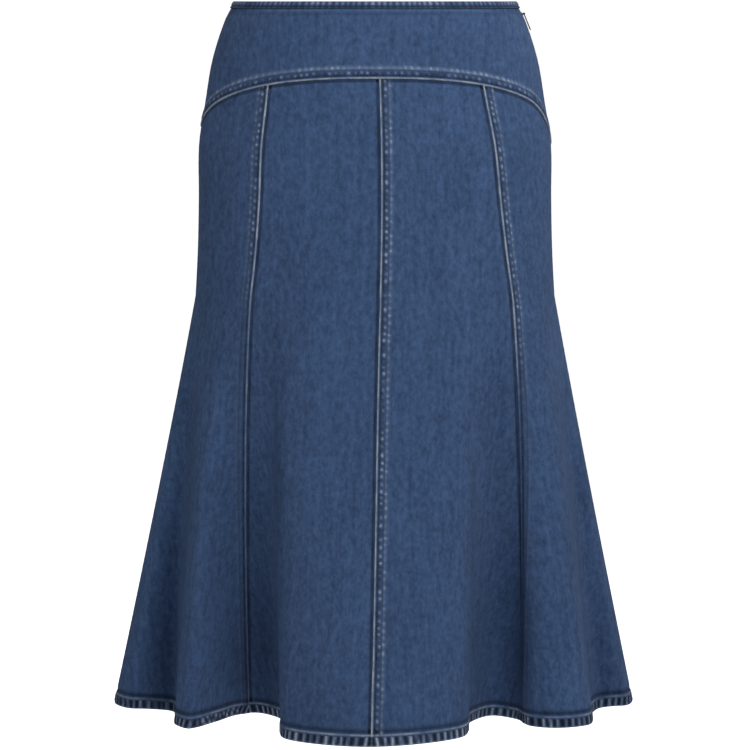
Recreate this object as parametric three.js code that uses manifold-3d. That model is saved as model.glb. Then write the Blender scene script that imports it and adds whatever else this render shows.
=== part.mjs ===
// A knee-length flared denim skirt, standing open as if worn: a yoke front and back, eight gores that
// flare into eight soft flutes, a bound waist edge, and a concealed zip in the left side seam.
// Millimetres. +Z is up, the front faces -Y and the wearer's left is +X. The origin is the middle of
// the waist opening, level with the waist edge.

import * as THREE from 'three';
import { mergeVertices } from 'three/addons/utils/BufferGeometryUtils.js';
import Module from 'manifold-3d';

const wasm = await Module();
wasm.setup();

// Overall sizes
const skirtLength = 730;
const flareStart = -285;
const hipLevel = -300;
const foldPower = 1.35;

// Cloth and seams
const clothWall = 1.3;
const seamGap = 0.3;
const fellWidth = 9;
const fellSlope = 1.4;
const fellHeight = 1;
const hemDepth = 10.5;
const hemWall = 3;
const hemStep = 0.8;

// The body of the skirt, a row for each height: half width, and depth before and behind the middle
const bodySections = [
  { z: 0, halfWidth: 142.6, front: 98, back: 90 },
  { z: -20, halfWidth: 153.2, front: 102, back: 95 },
  { z: -60, halfWidth: 166, front: 108, back: 104 },
  { z: -100, halfWidth: 172.9, front: 112.5, back: 113 },
  { z: -145, halfWidth: 179.8, front: 117, back: 125 },
  { z: -200, halfWidth: 180.4, front: 120.5, back: 132 },
  { z: -250, halfWidth: 181.6, front: 124, back: 134 },
  { z: -300, halfWidth: 184.2, front: 128.5, back: 136 },
];

// The plain flared ring that the flutes lie about at the hem
const hemRing = { halfWidth: 257, front: 142, back: 150 };

// The eight flutes at the hem, a row for each, going round to the left from the centre front.
// Each is followed from the foot of its rise over the crest to the trough after it: x, y and how far
// the hem hangs down there, because a deep fold behind another's edge shows a longer piece of cloth.
const flutes = [
  { name: 'centre_front', foot: [-95, -56, 2], rise: [-89, -155, 0], crest: [-5, -191, 0],
    fall: [86, -148, 0], end: [98, -72, 1], trough: [121, -36, 2] },
  { name: 'left_front', foot: [144, -52, 2], rise: [158, -95, 0], crest: [184, -104, 0],
    fall: [217, -89, 0], end: [226, -16, 3], trough: [236, 8, 3] },
  { name: 'left_side', foot: [248, 6, 1], rise: [262, 6, 0], crest: [271, 34, 0],
    fall: [261, 66, 0], end: [232, 76, 0], trough: [208, 74, 0] },
  { name: 'left_back', foot: [194, 88, 0], rise: [186, 128, 0], crest: [158, 149, 0],
    fall: [128, 132, 0], end: [112, 86, 0], trough: [100, 62, 0] },
  { name: 'centre_back', foot: [90, 84, 0], rise: [84, 152, 0], crest: [4, 203, 0],
    fall: [-86, 156, 0], end: [-94, 92, 0], trough: [-108, 66, 0] },
  { name: 'right_back', foot: [-122, 92, 0], rise: [-136, 136, 0], crest: [-165, 146, 0],
    fall: [-190, 122, 0], end: [-202, 86, 0], trough: [-214, 72, 0] },
  { name: 'right_side', foot: [-238, 76, 0], rise: [-264, 62, 0], crest: [-273, 20, 0],
    fall: [-256, -8, 0], end: [-236, 2, 3], trough: [-214, 16, 8] },
  { name: 'right_front', foot: [-204, -18, 7.5], rise: [-203, -88, 0], crest: [-188, -107, 0],
    fall: [-163, -76, 0], end: [-142, -37, 1], trough: [-122, -22, 2] },
];

// The eight seams, a row for each: its place in degrees round from the centre front at the yoke, the
// seat and the hip, on the plain ring at the hem, and where it meets the fluted hem
const seams = [
  { name: 'centre_front', yoke: 1.4, seat: 1.9, hip: 1.3, hemBase: -8, hem: [-4, -191] },
  { name: 'front_left', yoke: 38.9, seat: 43.3, hip: 48.5, hemBase: 45, hem: [149, -70] },
  { name: 'side_left', yoke: 90, seat: 90, hip: 90, hemBase: 90, hem: [271, 40] },
  { name: 'back_left', yoke: 140, seat: 137, hip: 133, hemBase: 134, hem: [112, 86] },
  { name: 'centre_back', yoke: 180, seat: 180, hip: 180, hemBase: 180, hem: [4, 203] },
  { name: 'back_right', yoke: 219.5, seat: 222.5, hip: 226.5, hemBase: 226, hem: [-110, 70] },
  { name: 'side_right', yoke: 270, seat: 270, hip: 270, hemBase: 270, hem: [-273, 22] },
  { name: 'front_right', yoke: 321.6, seat: 320.7, hip: 317.6, hemBase: 319.5, hem: [-128.5, -26] },
];
const seamTopLevel = -80;
const zipSeam = 2;

// Shares of the way across a gore, along its fluted hem and round the plain body, where they differ:
// they set how far over the walls of the centre front flute start
const bodyShares = {
  0: [{ hem: 0, body: 0 }, { hem: 0.1, body: 0.1 }, { hem: 0.37, body: 0.53 }, { hem: 0.66, body: 0.69 },
    { hem: 0.81, body: 0.82 }, { hem: 1, body: 1 }],
  7: [{ hem: 0, body: 0 }, { hem: 0.1, body: 0.1 }, { hem: 0.21, body: 0.17 }, { hem: 0.6, body: 0.36 },
    { hem: 0.97, body: 0.97 }, { hem: 1, body: 1 }],
};

// The eight gores, between one seam and the next, and the end at which each carries a felled seam
const gores = [
  { name: 'gore_front_centre_left', fell: 'start' },
  { name: 'gore_front_side_left', fell: 'start' },
  { name: 'gore_back_side_left', fell: 'end' },
  { name: 'gore_back_centre_left', fell: 'none' },
  { name: 'gore_back_centre_right', fell: 'start' },
  { name: 'gore_back_side_right', fell: 'start' },
  { name: 'gore_front_side_right', fell: 'end' },
  { name: 'gore_front_centre_right', fell: 'none' },
];
const plainColumns = 14;
const bendWeight = 26;
const upperRows = 3;
const goreLevels = [-165, -225, -285, -320, -365, -415, -475, -545, -625];

// The yoke seam: how far down it lies in front and behind, and how it dips at each side seam
const yokeSeam = {
  front: 76, frontDrop: 48, frontPower: 1.26,
  back: 92, backPower: 1.4,
  dipStart: 62, dipLeft: 22, dipRight: 4,
};
const yokeTop = -1.3;
const yokeUpperLevels = [-8, -18, -32, -52];
const yokeLowerSteps = [1 / 2];

// The bound waist edge, folded over the top of the yokes
const binding = { depth: 7, leaf: 1, lip: 0.9 };

// The concealed zip: its tape behind the seam, its chain, and the slider that closes it
const zip = {
  length: 186, top: -9, tapeHalf: 12, tapeWall: 0.8, tapeGap: 0.6,
  chainTop: -24, chainHalf: 2, chainHeight: 1.5, chainSlope: 0.25, slotDepth: 12, lip: 0.6, lipEnd: 8,
};
const slider = {
  level: -13, width: 6.4, height: 9, depth: 2.4, corner: 1.2, tapeGap: 0.9,
  lugWall: 0.6, lugHeight: 5, lugOut: 0.2, neckHalf: 1, pinRadius: 0.45, pinLength: 4,
};
const pull = {
  pivotOut: 1.8, barrelRadius: 1.2, barrelLength: 4, boreRadius: 0.62, slotWidth: 1.2,
  length: 18, neck: 1.6, belly: 3, wall: 1.1,
};
const runningGap = 0.3;
const smallSides = 12;
const roundSides = 16;

const denim = { color: 0x3a4e6e, roughness: 0.9, metalness: 0 };
const darkTape = { color: 0x1c2636, roughness: 0.85, metalness: 0 };
const zipLacquer = { color: 0x1b2438, roughness: 0.4, metalness: 0.2 };

// Curves
const degree = Math.PI / 180;
const mix = (a, b, t) => a + (b - a) * t;
const clamp01 = (t) => Math.min(1, Math.max(0, t));

// Smooth value of one column of a table, with the slope at each row taken from its neighbours
function tableValue(rows, column, at, key = 'z') {
  const rises = rows[1][key] > rows[0][key];
  const height = (i) => rows[i][key];
  const value = (i) => rows[i][column];
  const slope = (i) => {
    const before = Math.max(i - 1, 0);
    const after = Math.min(i + 1, rows.length - 1);
    return (value(after) - value(before)) / (height(after) - height(before));
  };
  let i = 0;
  while (i < rows.length - 2 && (rises ? at > height(i + 1) : at < height(i + 1))) i += 1;
  const step = height(i + 1) - height(i);
  const t = clamp01((at - height(i)) / step);
  const eased = t * t * (3 - 2 * t);
  const leave = (t - 2 * t * t + t * t * t) * step * slope(i);
  const arrive = (t * t * t - t * t) * step * slope(i + 1);
  return mix(value(i), value(i + 1), eased) + leave + arrive;
}

// Half width and depths of the plain ring at a height
function ringSize(z) {
  const body = Math.max(z, hipLevel);
  const flare = clamp01((hipLevel - z) / (skirtLength + hipLevel));
  const size = {};
  for (const key of ['halfWidth', 'front', 'back']) {
    const hip = tableValue(bodySections, key, hipLevel);
    size[key] = tableValue(bodySections, key, body) + (hemRing[key] - hip) * flare;
  }
  return size;
}

function ringPoint(size, degrees) {
  const x = size.halfWidth * Math.sin(degrees * degree);
  const towardFront = Math.cos(degrees * degree);
  return [x, -(towardFront > 0 ? size.front : size.back) * towardFront];
}

// A curve as points with the length along it at each
function measured(points, places) {
  const lengths = [0];
  for (let i = 1; i < points.length; i += 1) {
    const step = Math.hypot(points[i][0] - points[i - 1][0], points[i][1] - points[i - 1][1]);
    lengths.push(lengths[i - 1] + step);
  }
  return { points, places, lengths };
}

function lookUp(from, to, value) {
  let low = 0;
  let high = from.length - 1;
  while (high - low > 1) {
    const middle = (low + high) >> 1;
    if (from[middle] > value) high = middle;
    else low = middle;
  }
  const t = (value - from[low]) / (from[high] - from[low]);
  return mix(to[low], to[high], t);
}

// The plain ring at a height, measured from before the right side seam to past a full turn
const ringStart = -100;
const ringEnd = 450;
const ringStep = 0.5;
const ringCache = new Map();
function measuredRing(z) {
  if (!ringCache.has(z)) {
    const size = ringSize(z);
    const places = [];
    for (let d = ringStart; d <= ringEnd; d += ringStep) places.push(d);
    ringCache.set(z, measured(places.map((d) => ringPoint(size, d)), places));
  }
  return ringCache.get(z);
}

function seamDegrees(index, z) {
  const seam = seams[index % seams.length];
  const turn = index >= seams.length ? 360 : 0;
  const upper = clamp01((seamTopLevel - z) / (seamTopLevel - hipLevel));
  const lower = clamp01((hipLevel - z) / (skirtLength + hipLevel));
  const place = seam.yoke * (1 - upper) * (1 - 2 * upper) + seam.seat * 4 * upper * (1 - upper)
    + seam.hip * upper * (2 * upper - 1);
  return turn + place + (seam.hemBase - seam.hip) * lower;
}

// Place on the plain ring, in degrees, of a point part of the way across a gore
function goreSpan(gore, z) {
  const ring = measuredRing(z);
  const start = lookUp(ring.places, ring.lengths, seamDegrees(gore, z));
  const end = lookUp(ring.places, ring.lengths, seamDegrees(gore + 1, z));
  return { ring, start, width: end - start };
}

function goreDegrees(gore, across, z) {
  const { ring, start, width } = goreSpan(gore, z);
  const share = gore in bodyShares ? tableValue(bodyShares[gore], 'body', across, 'hem') : across;
  return lookUp(ring.lengths, ring.places, start + width * share);
}

// The fluted hem as one smooth closed curve
const fluteColumns = ['foot', 'rise', 'crest', 'fall', 'end', 'trough'];
const hemCorners = flutes.flatMap((flute) => fluteColumns.map((column) => flute[column]));
const hemCurve = new THREE.CatmullRomCurve3(
  hemCorners.map((corner) => new THREE.Vector3(...corner)), true, 'centripetal');
const hemSamples = 4800;
const hemLine = measured(
  Array.from({ length: hemSamples + 1 }, (_, i) => {
    const p = hemCurve.getPoint(i / hemSamples);
    return [p.x, p.y, p.z];
  }),
);
const hemTotal = hemLine.lengths[hemSamples];
const hemXs = hemLine.points.map((p) => p[0]);
const hemYs = hemLine.points.map((p) => p[1]);
const hemDrops = hemLine.points.map((p) => p[2]);

function hemPlaceOf([x, y]) {
  let nearest = 0;
  let least = Infinity;
  hemLine.points.forEach((p, i) => {
    const distance = Math.hypot(p[0] - x, p[1] - y);
    if (distance < least) {
      least = distance;
      nearest = i;
    }
  });
  return hemLine.lengths[nearest];
}

const firstSeamPlace = hemPlaceOf(seams[0].hem);
const seamPlaces = seams.map((seam) => (hemPlaceOf(seam.hem) - firstSeamPlace + hemTotal) % hemTotal);
seamPlaces.push(hemTotal);

function hemPoint(gore, across) {
  const along = mix(seamPlaces[gore], seamPlaces[gore + 1], across) + firstSeamPlace;
  return [hemXs, hemYs, hemDrops].map((values) => lookUp(hemLine.lengths, values, along % hemTotal));
}

// A point on the outside of the skirt: the plain ring, drawn towards the flutes below the hip
function skirtPoint(gore, across, z) {
  const [x, y] = ringPoint(ringSize(z), goreDegrees(gore, across, z));
  const weight = clamp01((flareStart - z) / (skirtLength + flareStart)) ** foldPower;
  if (weight === 0) return new THREE.Vector3(x, y, z);
  const plain = ringPoint(hemRing, goreDegrees(gore, across, -skirtLength));
  const fluted = hemPoint(gore, across);
  return new THREE.Vector3(
    x + (fluted[0] - plain[0]) * weight, y + (fluted[1] - plain[1]) * weight, z - fluted[2] * weight);
}

// The same point moved out along the surface's normal
const probe = { across: 0.004, z: 1 };
function skirtOffset(gore, across, z, offset) {
  const centre = skirtPoint(gore, across, z);
  if (offset === 0) return centre;
  const left = skirtPoint(gore, Math.max(across - probe.across, 0), z);
  const right = skirtPoint(gore, Math.min(across + probe.across, 1), z);
  const above = skirtPoint(gore, across, Math.min(z + probe.z, 0));
  const below = skirtPoint(gore, across, Math.max(z - probe.z, -skirtLength));
  const normal = right.sub(left).cross(above.sub(below)).normalize();
  return centre.addScaledVector(normal, offset);
}

function bodyOffset(degrees, z, offset) {
  const size = ringSize(z);
  const at = (d, level) => new THREE.Vector3(...ringPoint(ringSize(level), d), level);
  const centre = new THREE.Vector3(...ringPoint(size, degrees), z);
  const turn = at(degrees + ringStep, z).sub(at(degrees - ringStep, z));
  const rise = at(degrees, Math.min(z + probe.z, 0)).sub(at(degrees, z - probe.z));
  return centre.addScaledVector(turn.cross(rise).normalize(), offset);
}

// Degrees of a point a given distance round the ring from another
function stepRound(degrees, z, distance) {
  const ring = measuredRing(z);
  return lookUp(ring.lengths, ring.places, lookUp(ring.places, ring.lengths, degrees) + distance);
}

// How far down the yoke seam lies at a place round the body
function yokeSeamLevel(degrees) {
  const turn = ((degrees % 360) + 360) % 360;
  const onLeft = turn < 180;
  const fromFront = onLeft ? turn : 360 - turn;
  const dip = onLeft ? yokeSeam.dipLeft : yokeSeam.dipRight;
  const side = yokeSeam.front + yokeSeam.frontDrop + dip;
  if (fromFront > 90) {
    const toSide = 1 + Math.cos(fromFront * degree);
    return -mix(yokeSeam.back, side, toSide ** yokeSeam.backPower);
  }
  const drop = yokeSeam.frontDrop * (1 - Math.cos(fromFront * degree)) ** yokeSeam.frontPower;
  const nearSide = clamp01((fromFront - yokeSeam.dipStart) / (90 - yokeSeam.dipStart));
  return -(yokeSeam.front + drop + dip * nearSide * nearSide);
}

// Level at which a column of a gore meets the yoke seam
const goreTopRounds = 6;
function goreTop(gore, across) {
  let level = -yokeSeam.front;
  for (let i = 0; i < goreTopRounds; i += 1) level = yokeSeamLevel(goreDegrees(gore, across, level));
  return level;
}

// Half the gap that a gore or yoke leaves at a seam: the zip's lips stand a little further apart
function edgeGap(seam, z) {
  if (seam % seams.length !== zipSeam) return seamGap / 2;
  const open = clamp01((z + zip.length) / zip.lipEnd);
  return mix(seamGap / 2, zip.lip, open);
}

// Closed solids
function closedGeometry(points, triangles) {
  let volume = 0;
  for (const [a, b, c] of triangles) {
    volume += points[a].dot(points[b].clone().cross(points[c])) / 6;
  }
  const index = triangles.flatMap(([a, b, c]) => (volume > 0 ? [a, b, c] : [a, c, b]));
  const geometry = new THREE.BufferGeometry();
  geometry.setAttribute('position', new THREE.Float32BufferAttribute(points.flatMap((p) => p.toArray()), 3));
  geometry.setIndex(index);
  geometry.computeVertexNormals();
  return geometry;
}

// A wall between two grids of points, closed round its four edges
function wallGeometry(outer, inner) {
  const rows = outer.length;
  const columns = outer[0].length;
  const points = [...outer.flat(), ...inner.flat()];
  const out = (r, c) => r * columns + c;
  const back = (r, c) => rows * columns + out(r, c);
  const triangles = [];
  const quad = (a, b, c, d) => triangles.push([a, b, c], [a, c, d]);
  for (let r = 0; r < rows - 1; r += 1) {
    for (let c = 0; c < columns - 1; c += 1) {
      quad(out(r, c), out(r + 1, c), out(r + 1, c + 1), out(r, c + 1));
      quad(back(r, c), back(r, c + 1), back(r + 1, c + 1), back(r + 1, c));
    }
    const last = columns - 1;
    quad(out(r, 0), back(r, 0), back(r + 1, 0), out(r + 1, 0));
    quad(out(r, last), out(r + 1, last), back(r + 1, last), back(r, last));
  }
  for (let c = 0; c < columns - 1; c += 1) {
    const foot = rows - 1;
    quad(out(0, c), out(0, c + 1), back(0, c + 1), back(0, c));
    quad(out(foot, c), back(foot, c), back(foot, c + 1), out(foot, c + 1));
  }
  return closedGeometry(points, triangles);
}

// A closed profile carried along a row of places, with its two ends capped
function sweptGeometry(profile, stations) {
  const outline = profile.map(([height, offset]) => new THREE.Vector2(offset, height));
  const cap = THREE.ShapeUtils.triangulateShape(outline, []);
  const points = stations.flat();
  const count = profile.length;
  const triangles = [];
  for (let s = 0; s < stations.length - 1; s += 1) {
    for (let i = 0; i < count; i += 1) {
      const a = s * count + i;
      const b = s * count + ((i + 1) % count);
      triangles.push([a, b, b + count], [a, b + count, a + count]);
    }
  }
  const end = (stations.length - 1) * count;
  const clockwise = THREE.ShapeUtils.isClockWise(outline);
  for (const [a, b, c] of cap) {
    const turned = clockwise ? [a, b, c] : [a, c, b];
    triangles.push(turned);
    triangles.push([end + turned[0], end + turned[2], end + turned[1]]);
  }
  return closedGeometry(points, triangles);
}

function solidOf(geometry) {
  const bare = geometry.clone();
  bare.deleteAttribute('normal');
  bare.deleteAttribute('uv');
  const merged = mergeVertices(bare, 1e-4);
  return new wasm.Manifold(new wasm.Mesh({
    numProp: 3,
    vertProperties: new Float32Array(merged.attributes.position.array),
    triVerts: new Uint32Array(merged.index.array),
  }));
}

function geometryOf(solid) {
  const mesh = solid.getMesh();
  const geometry = new THREE.BufferGeometry();
  geometry.setAttribute('position', new THREE.BufferAttribute(new Float32Array(mesh.vertProperties), 3));
  geometry.setIndex(new THREE.BufferAttribute(new Uint32Array(mesh.triVerts), 1));
  geometry.computeVertexNormals();
  return geometry;
}

const group = new THREE.Group();
group.name = 'denim_skirt';
function addPiece(name, geometry, finish, parent = group) {
  const mesh = new THREE.Mesh(geometry, new THREE.MeshStandardMaterial(finish));
  mesh.name = name;
  parent.add(mesh);
}

// Gores: columns stand closer together where the hem bends, and two more shape the felled seam
function plainAcross(gore) {
  const samples = 400;
  const weights = [0];
  const places = [0];
  const point = (i) => hemPoint(gore, clamp01(i / samples));
  for (let i = 1; i <= samples; i += 1) {
    const [x0, y0] = point(i - 1);
    const [x1, y1] = point(i);
    const [x2, y2] = point(i + 1);
    const turn = Math.abs(Math.atan2(y2 - y1, x2 - x1) - Math.atan2(y1 - y0, x1 - x0));
    const bend = i === samples ? 0 : Math.min(turn, 2 * Math.PI - turn);
    weights.push(weights[i - 1] + Math.hypot(x1 - x0, y1 - y0) + bendWeight * bend);
    places.push(i / samples);
  }
  const total = weights[samples];
  return Array.from({ length: plainColumns + 1 }, (_, i) => lookUp(weights, places, total * i / plainColumns));
}

function goreColumns(gore, across, z) {
  const { width } = goreSpan(gore, z);
  const first = edgeGap(gore, z) / width;
  const last = 1 - edgeGap(gore + 1, z) / width;
  const flat = fellWidth + fellSlope;
  const { fell } = gores[gore];
  const start = fell === 'start' ? flat / width : first;
  const end = fell === 'end' ? 1 - flat / width : last;
  const columns = across.map((place) => ({ across: mix(start, end, place), raise: 0 }));
  const raised = { start: fellWidth / width, end: 1 - fellWidth / width };
  if (fell === 'start') {
    columns.unshift({ across: first, raise: fellHeight }, { across: raised.start, raise: fellHeight });
  }
  if (fell === 'end') {
    columns.push({ across: raised.end, raise: fellHeight }, { across: last, raise: fellHeight });
  }
  return columns;
}

// Top of each column of a gore, which the yokes share
const goreTops = gores.map((_, gore) => {
  const across = plainAcross(gore);
  const tops = goreColumns(gore, across, -yokeSeam.front - yokeSeam.frontDrop / 2);
  return tops.map((column) => ({ ...column, level: goreTop(gore, column.across) }));
});

function goreGeometry(gore) {
  const across = plainAcross(gore);
  const hemTop = hemDepth - skirtLength;
  const lowerLevels = [...goreLevels, hemTop + hemStep, hemTop, -skirtLength];
  const outer = [];
  const inner = [];
  const addRow = (columns, levels, wall) => {
    outer.push(columns.map((column, i) => skirtOffset(gore, column.across, levels[i], column.raise)));
    inner.push(columns.map((column, i) => skirtOffset(gore, column.across, levels[i], -wall)));
  };
  for (let r = 0; r < upperRows; r += 1) {
    const tops = goreTops[gore];
    const levels = tops.map((column) => mix(column.level - seamGap, goreLevels[0], r / upperRows));
    addRow(tops, levels, clothWall);
  }
  for (const z of lowerLevels) {
    const columns = goreColumns(gore, across, z);
    addRow(columns, columns.map(() => z), z > hemTop ? clothWall : hemWall);
  }
  return wallGeometry(outer, inner);
}

gores.forEach((gore, index) => addPiece(gore.name, goreGeometry(index), denim));

// Yokes: their columns end on those of the gores, and a raised band runs along the lower edge
const leastColumnStep = 0.3;
function yokeColumns(goreIndices) {
  const columns = goreIndices.flatMap((gore) => goreTops[gore].map((column) => ({
    degrees: goreDegrees(gore, column.across, column.level),
    level: column.level,
  })));
  for (const column of columns) {
    if (column.degrees > columns[columns.length - 1].degrees) column.degrees -= 360;
  }
  return columns.filter((column, i) => i === 0 || column.degrees - columns[i - 1].degrees > leastColumnStep);
}

// Levels of a yoke's rows above a point of its lower edge
function yokeLevels(edge) {
  const bandTop = edge + fellWidth + fellSlope;
  const lastUpper = yokeUpperLevels[yokeUpperLevels.length - 1];
  return [
    yokeTop, ...yokeUpperLevels, ...yokeLowerSteps.map((step) => mix(lastUpper, bandTop, step)),
    bandTop, edge + fellWidth, edge,
  ];
}

function yokeGeometry(goreIndices) {
  const columns = yokeColumns(goreIndices);
  const rows = yokeLevels(0).map((_, row, all) => ({
    level: (edge) => yokeLevels(edge)[row],
    raise: row >= all.length - 2 ? fellHeight : 0,
  }));
  const outer = [];
  const inner = [];
  for (const { level, raise } of rows) {
    const place = (column, i, offset) => {
      const z = level(column.level);
      let { degrees } = column;
      const isFirst = i === 0;
      if (isFirst || i === columns.length - 1) {
        const seam = Math.round(degrees / 90) * 90;
        const zipSide = seam === 90;
        const gap = edgeGap(zipSide ? zipSeam : 0, z);
        degrees = stepRound(seam, z, isFirst ? gap : -gap);
      }
      return bodyOffset(degrees, z, offset);
    };
    outer.push(columns.map((column, i) => place(column, i, raise)));
    inner.push(columns.map((column, i) => place(column, i, -clothWall)));
  }
  return wallGeometry(outer, inner);
}

addPiece('yoke_front', yokeGeometry([6, 7, 0, 1]), denim);
addPiece('yoke_back', yokeGeometry([2, 3, 4, 5]), denim);

// Waist binding, from one lip of the zip round the body to the other
function bindingGeometry() {
  const outside = seamGap + binding.leaf;
  const inside = -clothWall - outside;
  const fold = -binding.leaf;
  const profile = [
    [-binding.depth, outside], [0, outside], [0, inside], [-binding.depth, inside],
    [-binding.depth, inside + binding.leaf], [fold, inside + binding.leaf],
    [fold, seamGap], [-binding.depth, seamGap],
  ];
  const seam = seamDegrees(zipSeam, seamTopLevel);
  const turned = yokeColumns([6, 7, 0, 1]).map((column) => ({ degrees: column.degrees + 360 }));
  const columns = [...yokeColumns([2, 3, 4, 5]), ...turned];
  const stations = columns.map((column, i) => profile.map(([z, offset]) => {
    let { degrees } = column;
    if (i === 0) degrees = stepRound(seam, z, binding.lip);
    if (i === columns.length - 1) degrees = stepRound(seam, z, -binding.lip) + 360;
    return bodyOffset(degrees, z, offset);
  }));
  return sweptGeometry(profile, stations);
}

addPiece('waist_binding', bindingGeometry(), denim);

// The zip's head stands on the line of the cloth between the pull's pivot and its tip
const headTop = bodyOffset(90, slider.level, 0);
const headFoot = bodyOffset(90, slider.level - pull.length, 0);
const headSlope = Math.atan2(headFoot.x - headTop.x, headTop.z - headFoot.z);
const tapeOut = -clothWall - zip.tapeGap;
const tapeIn = tapeOut - zip.tapeWall;

function placeHead(object) {
  object.position.copy(headTop);
  object.rotation.y = -headSlope;
  object.updateMatrixWorld(true);
  return object;
}

function boxGeometryAt(sizeX, sizeY, sizeZ, x, y, z) {
  return new THREE.BoxGeometry(sizeX, sizeY, sizeZ).translate(x, y, z);
}

// Zip tape: a strip behind the seam with the closed chain as a rib on its inner side
function tapeGeometry() {
  const half = zip.tapeHalf;
  const chain = zip.chainHalf;
  const rib = zip.chainSlope;
  const columns = [-half, -chain - rib, -chain, chain, chain + rib, half];
  const sideEdge = yokeSeamLevel(seamDegrees(zipSeam, seamTopLevel));
  const levels = [...yokeLevels(sideEdge), goreLevels[0], -zip.length, zip.chainTop, zip.chainTop - rib]
    .filter((z) => z < zip.top);
  levels.unshift(zip.top);
  levels.sort((a, b) => b - a);
  const outer = [];
  const inner = [];
  for (const z of levels) {
    const onChain = z < zip.chainTop;
    const degreesOf = (distance) => stepRound(seamDegrees(zipSeam, z), z, distance);
    outer.push(columns.map((distance) => bodyOffset(degreesOf(distance), z, tapeOut)));
    inner.push(columns.map((distance) => {
      const depth = onChain && Math.abs(distance) <= chain ? zip.chainHeight : 0;
      return bodyOffset(degreesOf(distance), z, tapeIn - depth);
    }));
  }
  const strip = solidOf(wallGeometry(outer, inner));
  const slotHeight = slider.lugHeight + 2 * runningGap;
  const slot = boxGeometryAt(zip.slotDepth, slider.lugWall + 2 * runningGap, slotHeight, 0, 0, 0);
  slot.applyMatrix4(placeHead(new THREE.Object3D()).matrixWorld);
  return geometryOf(strip.subtract(solidOf(slot)));
}

addPiece('side_zip_tape', tapeGeometry(), darkTape);

// Slider: its body lies behind the tape, and its lug comes out between the lips with a cross pin
function cylinderAlongY(radius, length, sides) {
  return new THREE.CylinderGeometry(radius, radius, length, sides);
}

function sliderGeometry() {
  const halfWidth = slider.width / 2;
  const { height, corner, depth } = slider;
  const face = new THREE.Shape();
  face.moveTo(-halfWidth + corner, -height / 2);
  face.lineTo(halfWidth - corner, -height / 2);
  face.lineTo(halfWidth, -height / 2 + 2 * corner);
  face.lineTo(halfWidth, height / 2 - corner);
  face.lineTo(halfWidth - corner, height / 2);
  face.lineTo(-halfWidth + corner, height / 2);
  face.lineTo(-halfWidth, height / 2 - corner);
  face.lineTo(-halfWidth, -height / 2 + 2 * corner);
  face.closePath();
  const body = new THREE.ExtrudeGeometry(face, { depth, bevelEnabled: false });
  body.rotateX(Math.PI / 2).rotateZ(Math.PI / 2);
  const bodyFront = tapeIn - slider.tapeGap;
  body.translate(bodyFront - depth, 0, 0);
  const lugStart = bodyFront - depth / 2;
  const lugEnd = slider.lugOut;
  const pivot = pull.pivotOut;
  const lug = boxGeometryAt(
    lugEnd - lugStart, slider.lugWall, slider.lugHeight, (lugStart + lugEnd) / 2, 0, 0);
  const neck = boxGeometryAt(pivot, slider.lugWall, 2 * slider.neckHalf, pivot / 2, 0, 0);
  const round = cylinderAlongY(pull.barrelRadius, slider.lugWall, roundSides).translate(pivot, 0, 0);
  const pin = cylinderAlongY(slider.pinRadius, slider.pinLength, smallSides).translate(pivot, 0, 0);
  const solid = solidOf(body).add(solidOf(lug)).add(solidOf(neck)).add(solidOf(round)).add(solidOf(pin));
  return geometryOf(solid);
}

// Pull: a teardrop plate on a barrel that turns on the slider's pin
function pullGeometry() {
  const outline = new THREE.Shape();
  outline.moveTo(-pull.neck, 0);
  outline.lineTo(pull.neck, 0);
  outline.lineTo(pull.belly, -pull.length + pull.belly);
  outline.absarc(0, -pull.length + pull.belly, pull.belly, 0, -Math.PI, true);
  outline.lineTo(-pull.neck, 0);
  const plate = new THREE.ExtrudeGeometry(outline, {
    depth: pull.wall, bevelEnabled: false, curveSegments: roundSides / 2,
  });
  plate.rotateX(Math.PI / 2).rotateZ(Math.PI / 2);
  plate.translate(-pull.wall / 2, 0, 0);
  const barrel = cylinderAlongY(pull.barrelRadius, pull.barrelLength, roundSides);
  const bore = cylinderAlongY(pull.boreRadius, pull.barrelLength * 2, roundSides);
  const slotReach = pull.barrelRadius + runningGap;
  const slot = boxGeometryAt(2 * slotReach, pull.slotWidth, 2 * slotReach, 0, 0, 0);
  const solid = solidOf(barrel).add(solidOf(plate)).subtract(solidOf(bore)).subtract(solidOf(slot));
  return geometryOf(solid).translate(pull.pivotOut, 0, 0);
}

const zipHead = placeHead(new THREE.Group());
group.add(zipHead);
addPiece('zip_slider', sliderGeometry(), zipLacquer, zipHead);
addPiece('zip_pull', pullGeometry(), zipLacquer, zipHead);

export default group;
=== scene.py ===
import math
import bpy
import numpy as np
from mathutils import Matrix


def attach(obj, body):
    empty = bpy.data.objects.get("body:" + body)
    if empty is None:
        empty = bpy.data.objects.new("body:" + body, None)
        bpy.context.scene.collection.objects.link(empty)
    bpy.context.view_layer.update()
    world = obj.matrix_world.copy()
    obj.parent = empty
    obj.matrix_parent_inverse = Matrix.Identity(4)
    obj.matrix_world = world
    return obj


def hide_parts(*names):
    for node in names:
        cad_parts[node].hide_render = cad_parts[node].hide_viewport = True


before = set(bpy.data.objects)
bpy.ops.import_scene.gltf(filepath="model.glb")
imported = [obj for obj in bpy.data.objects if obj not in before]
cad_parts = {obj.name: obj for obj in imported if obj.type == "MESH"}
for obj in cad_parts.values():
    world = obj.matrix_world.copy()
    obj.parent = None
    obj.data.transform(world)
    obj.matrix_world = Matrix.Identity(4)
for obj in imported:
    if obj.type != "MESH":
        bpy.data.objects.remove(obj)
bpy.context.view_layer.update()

mm = 0.001
clothPieces = []

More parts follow.
